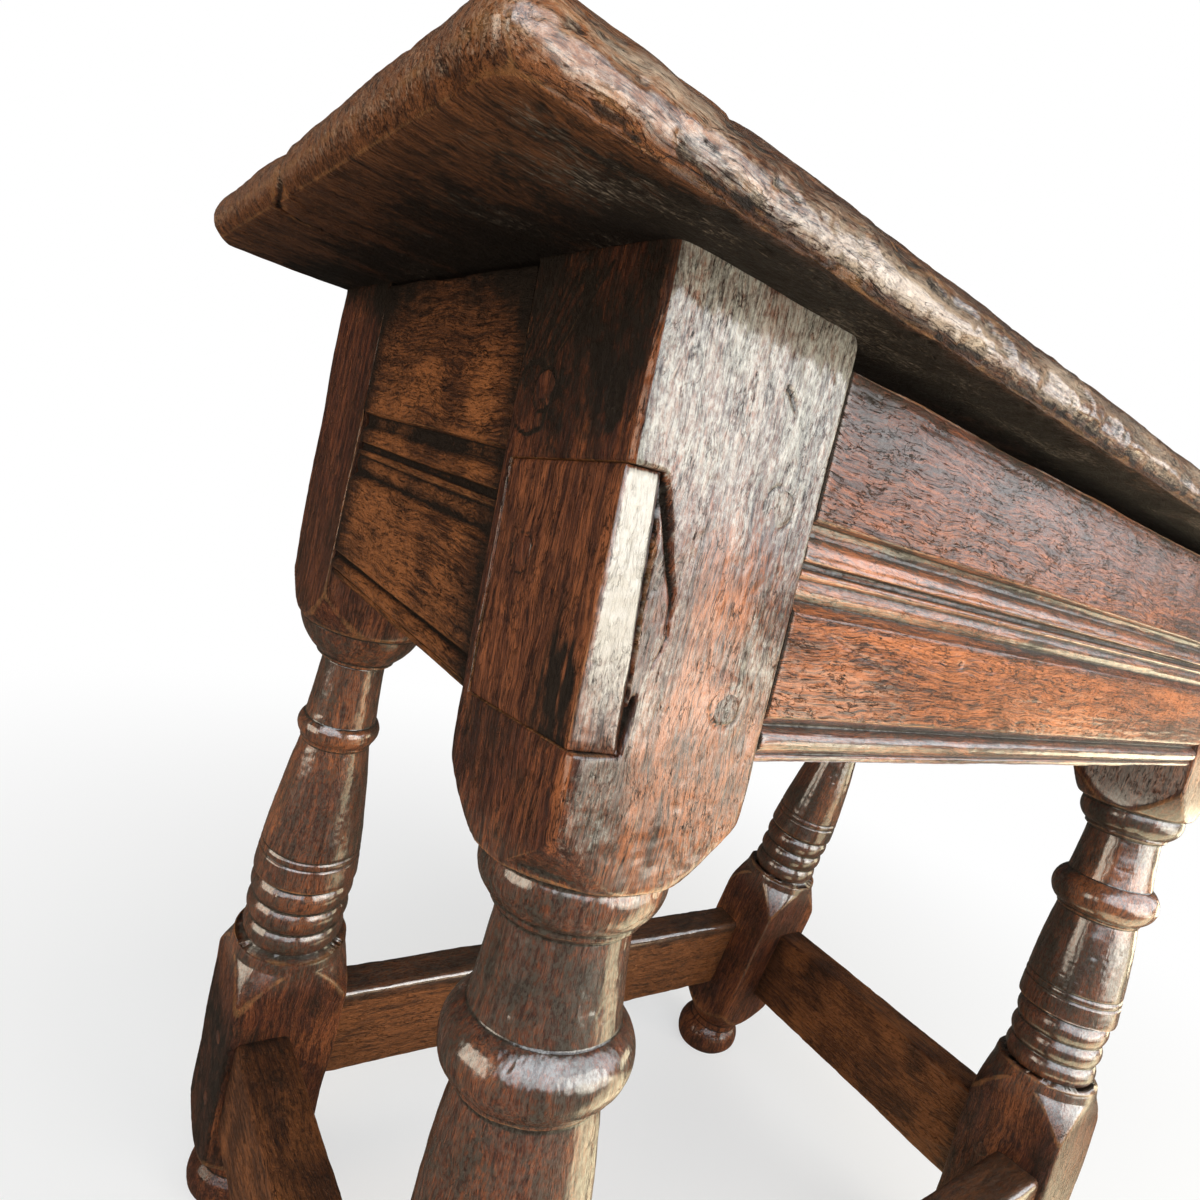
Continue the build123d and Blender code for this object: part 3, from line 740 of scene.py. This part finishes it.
def addLegs():
    h = halfLeg
    joint = cornerPatch["width"] - h
    closeLeft = runs(-h, 0.4, 3 - h, 0.62, joint - 0.5, 0.2, joint + 0.7, 0.6, h)
    closeFront = runs(-h, 0.42, 5 - h, 0.3, 22 - h, 0.62, h - 3, 0.4, h)
    plain = edged(h, 3, 0.6, 1.45)
    top, bottom = cornerPatch["drop"], cornerPatch["drop"] + cornerPatch["height"]
    closeRows = runs(0, 0.64, top - 0.6, 0.16, top + 0.2, 0.62, bottom - 0.2, 0.16, bottom + 0.6, 0.64, 165,
                     1.5, 490)
    near = closeRows, blockColumns(closeLeft, closeFront, edged(h, 3, 1.0, 2.6))
    far = runs(0, 2.2, 95, 1.15, 320, 2.0, 490), blockColumns(plain, plain, plain)
    seeds = {("left", "front"): 101, ("left", "back"): 131, ("right", "front"): 151, ("right", "back"): 171}
    for (side, face), seed in seeds.items():
        patched = (side, face) == ("left", "front")
        rows, columns = near if patched else far

        def sharp(drop, angle):
            besideRail = (np.cos(angle) * np.sin(angle) < 0) * ease(118, 106, drop)
            power = 24 + 8 * np.sin(drop * 0.11 + seed) + 50 * besideRail
            worn = (np.cos(angle) < 0) & (np.sin(angle) < 0) & (drop < cornerPatch["drop"] + 3) & patched
            return np.where(worn, 16.0, power)

        points = legShape(face, rows, columns, sharp)
        sink = 0.0
        if patched:
            points = cutFacets(points)
            sink = frontLeftSink(points)
        for above in legs["scribes"]:
            sink = sink + 0.7 * np.exp(-((points[..., 2] + vaseEndDrop() - above) / 0.55) ** 2)
        clean = points
        calm = levelRoundPegs(clean, (clean[..., 0] <= clean[..., 1]) * 1.0)
        points, marks = wornGrid(points, seed, legs["wear"], sink, calm)
        points[0] = clean[0]
        points[-1, :, 2] = clean[-1, :, 2]
        points[..., 2] = np.maximum(points[..., 2], -dropAt(0, h) + points[..., 1] * tan(lean))
        marks["grain"] = clean + seed * grainStep
        down = -clean[..., 2]
        turned = ease(118, 136, down) * ease(322, 308, down)
        patchy = softNoise(clean, (22.0, 22.0, 45.0), seed + 3)
        shaded = ease(325, 350, down) * (clean[..., 0] < 1.5 - h) * (side == "left")
        # painted shade at the top under the seat, darker turned parts, and painted shade on the left legs'
        # lower left faces
        marks["soot"] = np.clip(0.5 * ease(12, 0, down) + 0.22 * turned + 0.35 * shaded, 0, 1)
        marks["polish"] = 0.2 + 0.75 * turned
        marks["glow"] = np.clip(0.05 + 0.6 * patchy, 0, 1) * (1 - shaded)
        if patched:
            addLegTones(clean, sink, marks)
        addPiece(f"leg_{face}_{side}", toCorner(fromLeg(points), side, face), marks, "leg_oak")


def addPatch():
    size = cornerPatch
    width, chamfer = size["width"], size["chamfer"]
    top, bottom = size["drop"], size["drop"] + size["height"]
    rows = []
    for drop in runs(top, 0.3, top + 1.2, 0.62, bottom - 1.2, 0.3, bottom):
        depth = patchDepth(drop)
        edge = chamfer * (1 - depth / size["depthBottom"])
        left = [(0, v) for v in runs(width, 0.3, width - 1.2, 0.65, chamfer + 1, 0.25, chamfer)]
        across = [(depth * s, chamfer + (edge - chamfer) * s) for s in np.linspace(0, 1, 26)[1:]]
        inner = [(depth, edge + (width - edge) * s) for s in np.linspace(0, 1, 12)[1:]]
        close = [(depth * (1 - s), width) for s in np.linspace(0, 1, 6)[1:-1]]
        rows.append([(x - halfLeg, y - halfLeg, -drop) for x, y in left + across + inner + close])
    clean = np.array(rows)
    x, y, drop = onBlock(clean)
    facet = (y < 3.2) & (x > 0.3)
    fromEdge = np.minimum(drop - top, bottom - drop)
    fromEdge = np.where(x < 0.5, np.minimum(fromEdge, width - y), fromEdge)
    fromEdge = np.where(facet, np.minimum(fromEdge, patchDepth(drop) - x), fromEdge)
    share = x / patchDepth(drop)
    onLeft = (x < 0.5) * 1.0
    sink = 0.35 * ease(1.0, 0.0, fromEdge) + ringGrooves(clean, onLeft, 0.0)
    points, marks = wornGrid(clean, 211, size["wear"], sink, levelRoundPegs(clean, onLeft))
    marks["grain"] = clean + 211 * grainStep
    marks["rubbed"] = marks["rubbed"] * ease(0.5, 2.5, fromEdge)
    marks["polish"] = 0.6 * facet
    # painted sheen on the facet, brighter towards its top
    fade = ease(bottom + 4, top + 26, drop) * 0.8 + 0.2
    marks["bareAndSheen"] = facet * fade * ease(0.0, 1.0, fromEdge) * ease(0.05, 0.2, share)
    ragged = softNoise(points, (1.2, 1.2, 11.0), 217) + 0.5 * softNoise(points, (2.5, 2.5, 4.0), 219)
    streak = ease(74, 84, drop + 9 * ragged) * ease(22, 16, y + 4 * ragged) * ease(3, 6, y)
    marks["soot"] = streak * (x < 0.5) * np.clip(0.9 + 0.5 * ragged, 0, 1)
    marks["glow"] = 0.35 * facet + (1 - facet) * np.clip(0.35 + ease(6, 3.5, y) - 0.4 * ragged, 0, 1)
    addPiece("corner_patch", fromLeg(points), marks, "patch_oak")


# seat board

seat = {
    "thickness": 22.0, "front": 19.0, "back": 1.0, "end": 46.0,
    "nose": 1.2, "endNose": 3.0, "noseHeight": 4.0, "step": 2.4,
    "frontThumb": 30.0, "backThumb": 16.0, "endThumb": 20.0,
    "cornerRound": {"left_front": 2.0, "left_back": 3.6, "right_front": 2.5, "right_back": 3.0},
    "crack": [(-276.0, -7.0, 1.0), (-269.0, -2.0, 1.0), (-265.4, 14.1, 0.9), (-258.6, 18.3, 0.7),
              (-249.0, 15.0, 0.4)],
    "wear": {"size": 50.0, "wave": 0.45, "dent": 0.2, "ridge": 0.06, "grain": (18.0, 1.3, 1.3), "pit": 0.4,
             "blur": 5, "round": 1.3, "edge": 0.22},
}


def seatProfile():
    # insets from the front, back and end edges, and height, from the middle of the underside to the top
    size = seat
    rise = size["thickness"] - size["step"] - size["noseHeight"]
    nose = np.array([size["nose"], size["nose"], size["endNose"]])
    thumb = np.array([size["frontThumb"], size["backThumb"], size["endThumb"]])
    profile = [(inset, inset, inset, 0.0) for inset in [*runs(112, 5, 52, 1.0, 0.6), 0.3, 0.0]]
    profile += [(*(-nose * share), size["noseHeight"] * share) for share in np.linspace(0, 1, 6)[1:]]
    for angle in np.linspace(0, pi / 2, 36)[1:]:
        profile.append((*(thumb * (1 - cos(angle)) - nose), size["noseHeight"] + rise * sin(angle)))
    inner = np.array(profile[-1])
    profile += [inner + (0, 0, 0, size["step"] * share) for share in (0.25, 0.5, 0.75, 1.0)]
    profile += [(*(inner[:3] + inset), size["thickness"]) for inset in runs(0, 0.6, 3, 4, 80)[1:]]
    return np.array(profile)


def addSeat():
    size = seat
    halfX = halfLength + size["end"]
    frontY, backY = -halfDepth - size["front"], halfDepth + size["back"]
    profile = seatProfile()
    halfY = 118.0
    front = runs(-1, 0.8 / halfX, -60.0 / halfX, 3.0 / halfX, 1)[:-1]
    right = spread(-1, 1, 3.6 / halfY)[:-1]
    back = spread(1, -1, 3.6 / halfX)[:-1]
    left = spread(1, -1, 1.1 / halfY)[:-1]
    u = np.concatenate([front, np.ones(len(right)), back, -np.ones(len(left))])
    v = np.concatenate([-np.ones(len(front)), right, np.ones(len(back)), left])
    low, high = frontY + profile[:, 0], backY - profile[:, 1]
    x = u[None, :] * (halfX - profile[:, 2])[:, None]
    y = (low + high)[:, None] / 2 + v[None, :] * (high - low)[:, None] / 2
    z = np.repeat(profile[:, 3][:, None], len(u), axis=1)
    for side, face in corners:
        # rounded corners in plan
        radius = size["cornerRound"][f"{side}_{face}"] * 4
        sx, sy = (-1 if side == "left" else 1), (-1 if face == "front" else 1)
        edgeX = (halfX - profile[:, 2])[:, None]
        edgeY = (high if sy > 0 else -low)[:, None]
        qx, qy = x * sx - (edgeX - radius), y * sy - (edgeY - radius)
        inside = (qx > 0) & (qy > 0)
        scale = np.maximum(qx, qy) / np.maximum(np.hypot(qx, qy), 1e-6)
        soft = 0.25 + 0.75 * scale   # only part of the way to a full quarter circle
        x = np.where(inside, sx * (edgeX - radius + qx * soft), x)
        y = np.where(inside, sy * (edgeY - radius + qy * soft), y)
    clean = np.stack([x, y, z + seatHeight], axis=-1)
    # gouges eaten into the front edge and the underside's rim, and a crack that runs in from the left end
    nearFront = ease(16, 6, y - frontY + 0.5 * z) * ease(0.0, 1.0, 16 - z) * ease(-268, -255, x)
    gouged = ease(0.1, 0.6, layeredNoise(clean, (9.0, 3.2, 3.2), 3, 331) + 0.3 * softNoise(clean, 60.0, 335))
    sink = (0.35 + 0.45 * ease(0, 2, z)) * nearFront * gouged
    sink = sink + cutAlong(x, y + 0.8 * softNoise(clean, 3.0, 337), size["crack"], 1.1)
    # the top is kept level round the pegs and a little lower than their ends
    fromPeg = np.hypot(np.abs(x) - halfLength + pegs["topInset"], np.abs(y) - halfDepth + pegs["topInset"])
    onTop = ease(size["thickness"] - 0.6, size["thickness"] - 0.1, z)
    calm = 1 - onTop * ease(15, 8, fromPeg)
    points, marks = wornGrid(clean, 307, size["wear"], sink + 0.12 * onTop, calm)
    flat = (profile[:, 3] < 0.01) & (profile[:, 0] > 8)
    level = clean + (points - clean) * 0.5
    points = np.where(flat[:, None, None], np.maximum(level, clean - np.array([0, 0, 0.35])), points)
    marks["grain"] = clean[..., [2, 1, 0]] + 2241.0
    # painted shade over the underside, less towards the left end
    under = ease(3.0, -0.5, z) * ease(-2, 8, profile[:, 0])[:, None]
    paintedShade = np.clip(0.85 + 0.45 * layeredNoise(clean, 24.0, 3, 311), 0.1, 1)
    marks["soot"] = under * paintedShade * (0.4 + 0.6 * ease(-262, -222, x))
    marks["glow"] = np.clip(0.7 * ease(-215, -250, x) + 0.2 * ease(1, 6, z), 0, 1)
    # painted sheen along the front edge, pale end grain on the left nose, and painted glints on the
    # underside, more near the front
    edge = ease(0.5, 3, z) * ease(18, 10, z)
    patchy = softNoise(clean, (22.0, 9.0, 6.0), 341)
    bareAndSheen = edge * np.maximum(0.35 * ease(-264, -269, x), ease(11, 5, y - frontY) * (0.55 + 0.25 * patchy))
    marks["bareAndSheen"] = bareAndSheen + under * np.clip(0.04 + 0.25 * patchy + 0.18 * ease(40, 4, y - frontY), 0, 1)
    marks["polish"] = np.clip(0.6 * ease(1.5, 5, z) + 0.35 * ease(11, 17, z) + 0.15 * under, 0, 1)
    addPiece("seat_board", points, marks, "seat_oak")


# pegs

# the two front pegs in the front left leg carry the same painted sheen as the face round them
pegs = {"diameter": 9.2, "proud": 0.1, "dome": 0.45, "wobble": 0.3, "columns": 32, "topInset": 27.5,
        "topDepth": 19.8, "bareAndSheen": {"peg_rail_front_left_upper": 0.5, "peg_rail_front_left_lower": 0.4}}


def addPeg(name, start, end, seed, side, face, inLeg):
    # a riven peg between two points of its axis, each end rounded over
    rng = np.random.default_rng(seed)
    axis = np.array(end, float) - np.array(start, float)
    length = np.linalg.norm(axis)
    axis /= length
    wide = np.cross(axis, [0.3, 0.5, 0.81])
    wide /= np.linalg.norm(wide)
    other = np.cross(axis, wide)
    radius, dome = pegs["diameter"] / 2, pegs["dome"]
    rim = [(0.35, 0.0), (0.7, 0.06), (0.86, 0.2), (0.95, 0.5), (1.0, 1.0)]
    stations = [(r * radius, d * dome) for r, d in rim]
    stations += [(radius, v) for v in np.linspace(dome, length - dome, max(3, int(length / 6)))[1:-1]]
    stations += [(r * radius, length - d * dome) for r, d in reversed(rim)]
    angles = np.linspace(0, 2 * pi, pegs["columns"], endpoint=False)
    flats = np.sin(angles * 3 + rng.uniform(0, 6)) * 0.5 + np.sin(angles * 5 + rng.uniform(0, 6)) * 0.4
    flats = 1 + pegs["wobble"] / radius * flats
    tilt = rng.uniform(-0.05, 0.05, 2)
    r, along = np.array(stations).T[:, :, None]
    across, over = r * np.cos(angles), r * np.sin(angles)
    along = along + (across * tilt[0] + over * tilt[1]) * (along < 2)
    points = start + sum(way * reach[..., None] for way, reach in (
        (axis, along), (wide, across * flats), (other, over * flats)))
    even = np.zeros(across.shape)
    marks = {"hollow": ease(radius * 0.9, radius * 1.0, r + even), "polish": 0.3 + even, "glow": 0.1 + even,
             "bareAndSheen": pegs["bareAndSheen"].get(name, 0.0) + even, "grain": points + seed * 3.1}
    world = fromLeg(points) if inLeg else points
    addPiece(name, toCorner(world, side, face), marks, "peg_oak")


def addPegs():
    proud = pegs["proud"]
    seed = 400
    for side, face in corners:
        for joint, (rows, length, alongX) in pegPlaces().items():
            kind = joint.split("_")[0]
            bar = f"{kind}_{side if alongX else face}"
            for place, (inset, drop) in zip(("upper", "lower"), rows):
                seed += 1
                across = halfLeg - inset
                shave = backShave(drop) if face == "back" and not alongX else 0.0
                through = length >= stool["legWidth"]
                reach = -halfLeg - proud + shave, length - halfLeg + (proud if through else 0.0)
                start, end = ((v, across, -drop) if alongX else (across, v, -drop) for v in reach)
                name = f"peg_{bar}_{face if alongX else side}_{place}"
                addPeg(name, start, end, seed, side, face, True)
        seed += 1
        heights = seatHeight + seat["thickness"], seatHeight - pegs["topDepth"]
        start, end = ((pegs["topInset"] - halfLength, pegs["topInset"] - halfDepth, z) for z in heights)
        addPeg(f"peg_seat_{face}_{side}", start, end, seed, side, face, False)


# finishes

class Wire:
    # a shader socket that can stand in ordinary sums
    def __init__(self, finish, socket):
        self.finish, self.socket = finish, socket

    def maths(self, operation, first, second):
        return self.finish.add("ShaderNodeMath", {"operation": operation}, {0: first, 1: second})

    def __add__(self, other):
        return self.maths("ADD", self, other)

    def __sub__(self, other):
        return self.maths("SUBTRACT", self, other)

    def __rsub__(self, other):
        return self.maths("SUBTRACT", other, self)

    def __mul__(self, other):
        return self.maths("MULTIPLY", self, other)

    __radd__ = __add__
    __rmul__ = __mul__

    def clamped(self):
        return self.finish.add("ShaderNodeClamp", {}, {"Value": self})

    def size(self):
        return self.maths("ABSOLUTE", self, 0.0)


class Finish:
    # a material and the nodes that make it
    def __init__(self, name, tree=None):
        if tree is None:
            self.material = bpy.data.materials.new(name)
            self.material.use_nodes = True
            tree = self.material.node_tree
        self.tree = tree
        self.tree.nodes.clear()

    def add(self, kind, settings, inputs, output=0):
        node = self.tree.nodes.new(kind)
        for key, value in settings.items():
            setattr(node, key, value)
        for key, value in inputs.items():
            socket = node.inputs[key]
            if isinstance(value, Wire):
                self.tree.links.new(value.socket, socket)
            elif isinstance(value, tuple) and socket.type == "RGBA" and len(value) == 3:
                socket.default_value = (*value, 1.0)
            else:
                socket.default_value = value
        return Wire(self, node.outputs[output]) if len(node.outputs) else None

    def mark(self, label):
        return self.add("ShaderNodeAttribute", {"attribute_name": label}, {}, "Fac")

    def place(self):
        return self.add("ShaderNodeAttribute", {"attribute_name": "grain"}, {}, "Vector")

    def rays(self):
        # rays that see the background as it is, and glossy ones
        kinds = "Is Camera Ray", "Is Transmission Ray", "Is Glossy Ray"
        seen, through, glossy = (self.add("ShaderNodeLightPath", {}, {}, kind) for kind in kinds)
        return seen + through, glossy

    def part(self, vector, axis):
        return self.add("ShaderNodeSeparateXYZ", {}, {"Vector": vector}, axis)

    def scaled(self, vector, factors):
        return self.add("ShaderNodeVectorMath", {"operation": "MULTIPLY"}, {0: vector, 1: factors})

    def shifted(self, vector, other):
        return self.add("ShaderNodeVectorMath", {"operation": "ADD"}, {0: vector, 1: other})

    def noise(self, vector, factors, detail=2.0, roughness=0.5, output=0):
        return self.add("ShaderNodeTexNoise", {}, {"Vector": self.scaled(vector, factors), "Scale": 1.0,
                                                   "Detail": detail, "Roughness": roughness}, output)

    def ease(self, value, low, high, start=0.0, end=1.0):
        return self.add("ShaderNodeMapRange", {"interpolation_type": "SMOOTHSTEP"},
                        {"Value": value, "From Min": low, "From Max": high, "To Min": start, "To Max": end})

    def mix(self, first, second, share):
        return self.add("ShaderNodeMix", {"data_type": "RGBA"}, {0: share, 6: first, 7: second}, 2)


def oakFinish(name, look):
    fin = Finish(name)
    place = fin.place()
    rubbed, hollow, soot, glow, bareAndSheen, polish = (
        fin.mark(label) for label in ("rubbed", "hollow", "soot", "glow", "bareAndSheen", "polish"))
    wander = fin.noise(place, (0.05, 0.05, 0.022), 3.0, 0.55, 1)
    bent = fin.shifted(place, fin.scaled(wander, (10.0, 10.0, 0.0)))
    fibre = fin.noise(bent, (2.1, 2.1, look["streak"]), 3.0, 0.65)
    pores = fin.ease(fin.noise(bent, (2.7, 2.7, 0.13), 2.0, 0.6), 0.55, 0.68)
    bands = fin.noise(bent, (0.42, 0.42, 0.024), 5.0, 0.62)
    cloud = fin.noise(place, (0.03, 0.03, 0.024), 3.0, 0.6)
    blotch = fin.noise(place, (0.14, 0.14, 0.09), 5.0, 0.68)
    crackle = fin.noise(place, (0.9, 0.9, 0.5), 4.0, 0.75)
    veins = fin.ease((fin.noise(bent, (0.3, 0.3, 0.09), 4.0, 0.6) - 0.5).size(), 0.0, 0.022, 1.0, 0.0)
    veins = veins * fin.ease(blotch, 0.4, 0.55)
    # the wood itself
    tone = fin.ease(bands * 0.5 + fibre * 0.5, 0.38, 0.62)
    wood = fin.mix(look["dark"], look["mid"], tone)
    mottle = look["mottle"]
    ember = fin.ease(bands * 0.35 + blotch * mottle + fibre * (0.65 - mottle) + glow * 0.1, 0.46, 0.64)
    wood = fin.mix(wood, look["warm"], (ember * (look["warmth"] + glow * 0.55)).clamped())
    wood = fin.mix(wood, look["pore"], (pores * 0.7 + veins * 0.7).clamped())
    # years of wax and dirt, and painted shade, thick in the hollows, under the seat and at the joints, and
    # thin where hands and feet have been
    grimeAndShade = fin.ease(cloud * 0.3 + blotch * 0.4 + crackle * 0.3 - glow * 0.09 + soot * 0.12,
                     look["grimeLow"], look["grimeHigh"])
    grimeAndShade = grimeAndShade * look["grimeAndShade"] + fin.ease(hollow, 0.1, 0.8) * 0.85
    grimeAndShade = (grimeAndShade + soot * (0.55 + crackle * 0.6)).clamped()
    wear = fin.ease(rubbed * blotch * 2.0 + crackle * 0.4, 0.75, 1.35)
    thin = (grimeAndShade - wear * 0.5).clamped()
    wood = fin.mix(wood, look["patinaAndShade"], thin)
    # a pale wax bloom where polished, which also paints part of the sheen
    wax = fin.ease(crackle, 0.42, 0.6)
    wood = fin.mix(wood, look["wax"], (wax * polish * look["bloomAndSheen"]).clamped())
    wood = fin.mix(wood, look["gold"], (wear * look["gilt"]).clamped())
    # pale bare wood where worn, and a painted sheen where the mark stands for a reflection
    scuffAndSheen = fibre * 0.4 + crackle * 0.6 + bareAndSheen * 0.55 - pores * 0.06 - veins * 0.1
    wood = fin.mix(wood, look["sheenAndBareWood"], fin.ease(scuffAndSheen, 0.62, 1.0, 0.0, 0.95))
    rough = fin.ease(blotch * 0.5 + crackle * 0.5, 0.35, 0.65, look["roughLow"], look["roughHigh"])
    rough = (rough + pores * 0.15 + soot * 0.2 - wear * 0.06 - polish * 0.08).clamped()
    dry = 1.1 - polish
    height = fibre * 0.4 - (pores * 0.45 + veins * 0.5) * dry + crackle * dry * look["relief"]
    height = height + blotch * dry * 0.6
    bump = fin.add("ShaderNodeBump", {}, {"Height": height, "Strength": look["bump"], "Distance": 0.0009})
    coat = (look["coat"] + polish * 0.9) * (0.7 + wax * 0.3)
    coat = (coat - (pores * 0.35 + veins * 0.4) * dry - soot * 0.45 - hollow * 0.3).clamped()
    shader = fin.add("ShaderNodeBsdfPrincipled", {}, {
        "Base Color": wood, "Roughness": rough, "Normal": bump, "IOR": 1.5, "Specular IOR Level": 0.1,
        "Coat Weight": coat, "Coat Roughness": look["coatRough"], "Coat IOR": 1.7})
    fin.add("ShaderNodeOutputMaterial", {}, {"Surface": shader})
    return fin.material


oak = {
    "dark": (0.030, 0.010, 0.006), "mid": (0.120, 0.033, 0.014), "warm": (0.44, 0.140, 0.044),
    "pore": (0.006, 0.003, 0.002), "patinaAndShade": (0.013, 0.008, 0.005), "gold": (0.46, 0.24, 0.085),
    "warmth": 0.35, "gilt": 0.2, "wax": (0.46, 0.41, 0.31), "bloomAndSheen": 0.06, "streak": 0.09, "mottle": 0.3,
    "sheenAndBareWood": (0.34, 0.325, 0.27), "grimeLow": 0.44, "grimeHigh": 0.62, "grimeAndShade": 0.8,
    "roughLow": 0.38, "roughHigh": 0.6, "coat": 0.10, "coatRough": 0.16, "relief": 2.6, "bump": 1.0,
}
brownOak = dict(oak, dark=(0.030, 0.012, 0.006), mid=(0.105, 0.037, 0.014), warm=(0.24, 0.085, 0.027))
finishes = {
    "seat_oak": oakFinish("seatOak", dict(brownOak, sheenAndBareWood=(0.42, 0.32, 0.23))),
    "leg_oak": oakFinish("legOak", oak),
    "rail_oak": oakFinish("railOak", dict(oak, warmth=0.3, grimeAndShade=0.75, relief=1.3, bump=0.8, streak=0.045,
                                          mottle=0.12)),
    "end_rail": oakFinish("endRailOak", dict(brownOak, warmth=0.55, grimeAndShade=0.6, relief=1.8)),
    "stretcher_oak": oakFinish("stretcherOak", dict(brownOak, relief=1.4)),
    "peg_oak": oakFinish("pegOak", dict(oak, warmth=0.25)),
    "patch_oak": oakFinish("patchOak", dict(oak, mid=(0.110, 0.035, 0.015), warm=(0.25, 0.082, 0.030),
                                            sheenAndBareWood=(0.33, 0.30, 0.25), grimeAndShade=0.4, mottle=0.2, relief=1.2,
                                            bump=0.9)),
}


# camera, light and floor

view = {
    "place": (-0.309008, -0.234599, 0.440172),
    "forward": (0.610130, 0.756125, -0.236677),
    "up": (-0.069230, 0.348456, 0.934765),
    "lens": 22.748,
    "shift": (-0.013695, 0.069912),
}
lamps = {
    "window": {"place": (0.28, -1.25, 0.58), "aim": (-0.19, -0.11, 0.44), "size": (1.15, 0.8), "watts": 20.0,
               "colour": (1.0, 0.95, 0.86)},
    "ground": {"place": (0.56, -1.08, 0.21), "aim": (-0.19, -0.11, 0.38), "size": (0.9, 0.36), "watts": 7.0,
               "colour": (1.0, 0.93, 0.78)},
    "low": {"place": (1.3, -0.42, 0.12), "aim": (-0.15, -0.05, 0.25), "size": (0.45, 0.45), "watts": 4.5,
            "colour": (1.0, 0.88, 0.6)},
    "sky": {"place": (-0.75, -0.9, 1.25), "aim": (-0.2, 0.0, 0.3), "size": (1.5, 1.1), "watts": 13.0,
            "colour": (0.82, 0.91, 1.0)},
    "side": {"place": (-1.5, 0.1, 0.35), "aim": (-0.2, 0.0, 0.35), "size": (0.8, 0.8), "watts": 16.5,
             "colour": (1.0, 0.87, 0.7)},
}
room = {"soft": 0.3, "skyGloss": 6.0, "dimGloss": 0.04, "floorGloss": 0.06, "sunGloss": 5.0}


def addCamera():
    camera = bpy.data.cameras.new("camera")
    camera.lens = view["lens"]
    camera.sensor_width = 36
    camera.shift_x, camera.shift_y = view["shift"]
    camera.clip_start = 0.01
    holder = bpy.data.objects.new("camera", camera)
    bpy.context.collection.objects.link(holder)
    back = -Vector(view["forward"]).normalized()
    right = Vector(view["up"]).cross(back).normalized()
    up = back.cross(right)
    holder.matrix_world = Matrix.Translation(view["place"]) @ Matrix((right, up, back)).transposed().to_4x4()
    bpy.context.scene.camera = holder


def addLamps():
    for name, own in lamps.items():
        lamp = bpy.data.lights.new(name, "AREA")
        lamp.shape = "RECTANGLE"
        lamp.size, lamp.size_y = own["size"]
        lamp.energy = own["watts"]
        lamp.color = own["colour"]
        holder = bpy.data.objects.new(name, lamp)
        holder.location = own["place"]
        beam = Vector(own["aim"]) - Vector(own["place"])
        holder.rotation_euler = beam.to_track_quat("-Z", "Y").to_euler()
        bpy.context.collection.objects.link(holder)


def addRoom():
    # white behind the stool, a soft room for light, and a dim one with a bright front sky in reflections
    world = bpy.data.worlds.new("room")
    bpy.context.scene.world = world
    world.use_nodes = True
    fin = Finish("room", world.node_tree)
    plain, glossy = fin.rays()
    way = fin.add("ShaderNodeTexCoord", {}, {}, "Generated")
    front = fin.ease(fin.part(way, "Y"), -0.15, -0.5) * fin.ease(fin.part(way, "Z"), 0.0, 0.15)
    gloss = fin.ease(front, 0.0, 1.0, room["dimGloss"], room["skyGloss"])
    strength = glossy * gloss + (1 - glossy) * room["soft"]
    soft = fin.add("ShaderNodeBackground", {}, {"Color": (0.9, 0.95, 1.0), "Strength": strength})
    white = fin.add("ShaderNodeBackground", {}, {"Color": (1.0, 1.0, 1.0), "Strength": 1.0})
    shader = fin.add("ShaderNodeMixShader", {}, {0: plain.clamped(), 1: soft, 2: white})
    fin.add("ShaderNodeOutputWorld", {}, {"Surface": shader})


def addFloor():
    fin = Finish("floorPaper")
    plain, glossy = fin.rays()
    place = fin.add("ShaderNodeTexCoord", {}, {}, "Object")
    away = fin.add("ShaderNodeVectorMath", {"operation": "LENGTH"}, {0: place}, "Value")
    x, y = fin.part(place, "X"), fin.part(place, "Y")
    sunny = fin.ease((x * 0.574 + y * 0.82 + 0.107).size(), 0.26, 0.1)
    sunny = sunny * fin.ease(x * 0.82 - y * 0.574, 0.05, 0.2)
    paper = fin.add("ShaderNodeBsdfDiffuse", {}, {"Color": (0.86, 0.86, 0.86)})
    tint = fin.mix((1.0, 1.0, 1.0), (1.0, 0.86, 0.55), glossy)
    strength = plain + glossy * (room["floorGloss"] + sunny * room["sunGloss"])
    glow = fin.add("ShaderNodeEmission", {}, {"Color": tint, "Strength": strength})
    share = (plain * fin.ease(away, 0.2, 1.1, 0.55, 1.0) + glossy * 0.9).clamped()
    shader = fin.add("ShaderNodeMixShader", {}, {0: share, 1: paper, 2: glow})
    fin.add("ShaderNodeOutputMaterial", {}, {"Surface": shader})
    mesh = bpy.data.meshes.new("floor")
    half = 4.0
    outline = [(-half, -half, 0), (half, -half, 0), (half, half, 0), (-half, half, 0)]
    mesh.from_pydata(outline, [], [(0, 1, 2, 3)])
    floor = bpy.data.objects.new("floor", mesh)
    bpy.context.collection.objects.link(floor)
    floor.data.materials.append(fin.material)


addCamera()
addLamps()
addRoom()
addFloor()
print("camera, lamps and floor placed")
addSeat()
print("seat board made")
addRails()
addStretchers()
print("rails and stretchers made")
addLegs()
addPatch()
print("legs and corner patch made")
addPegs()
print("pegs made")

bpy.context.scene.view_settings.view_transform = "Standard"
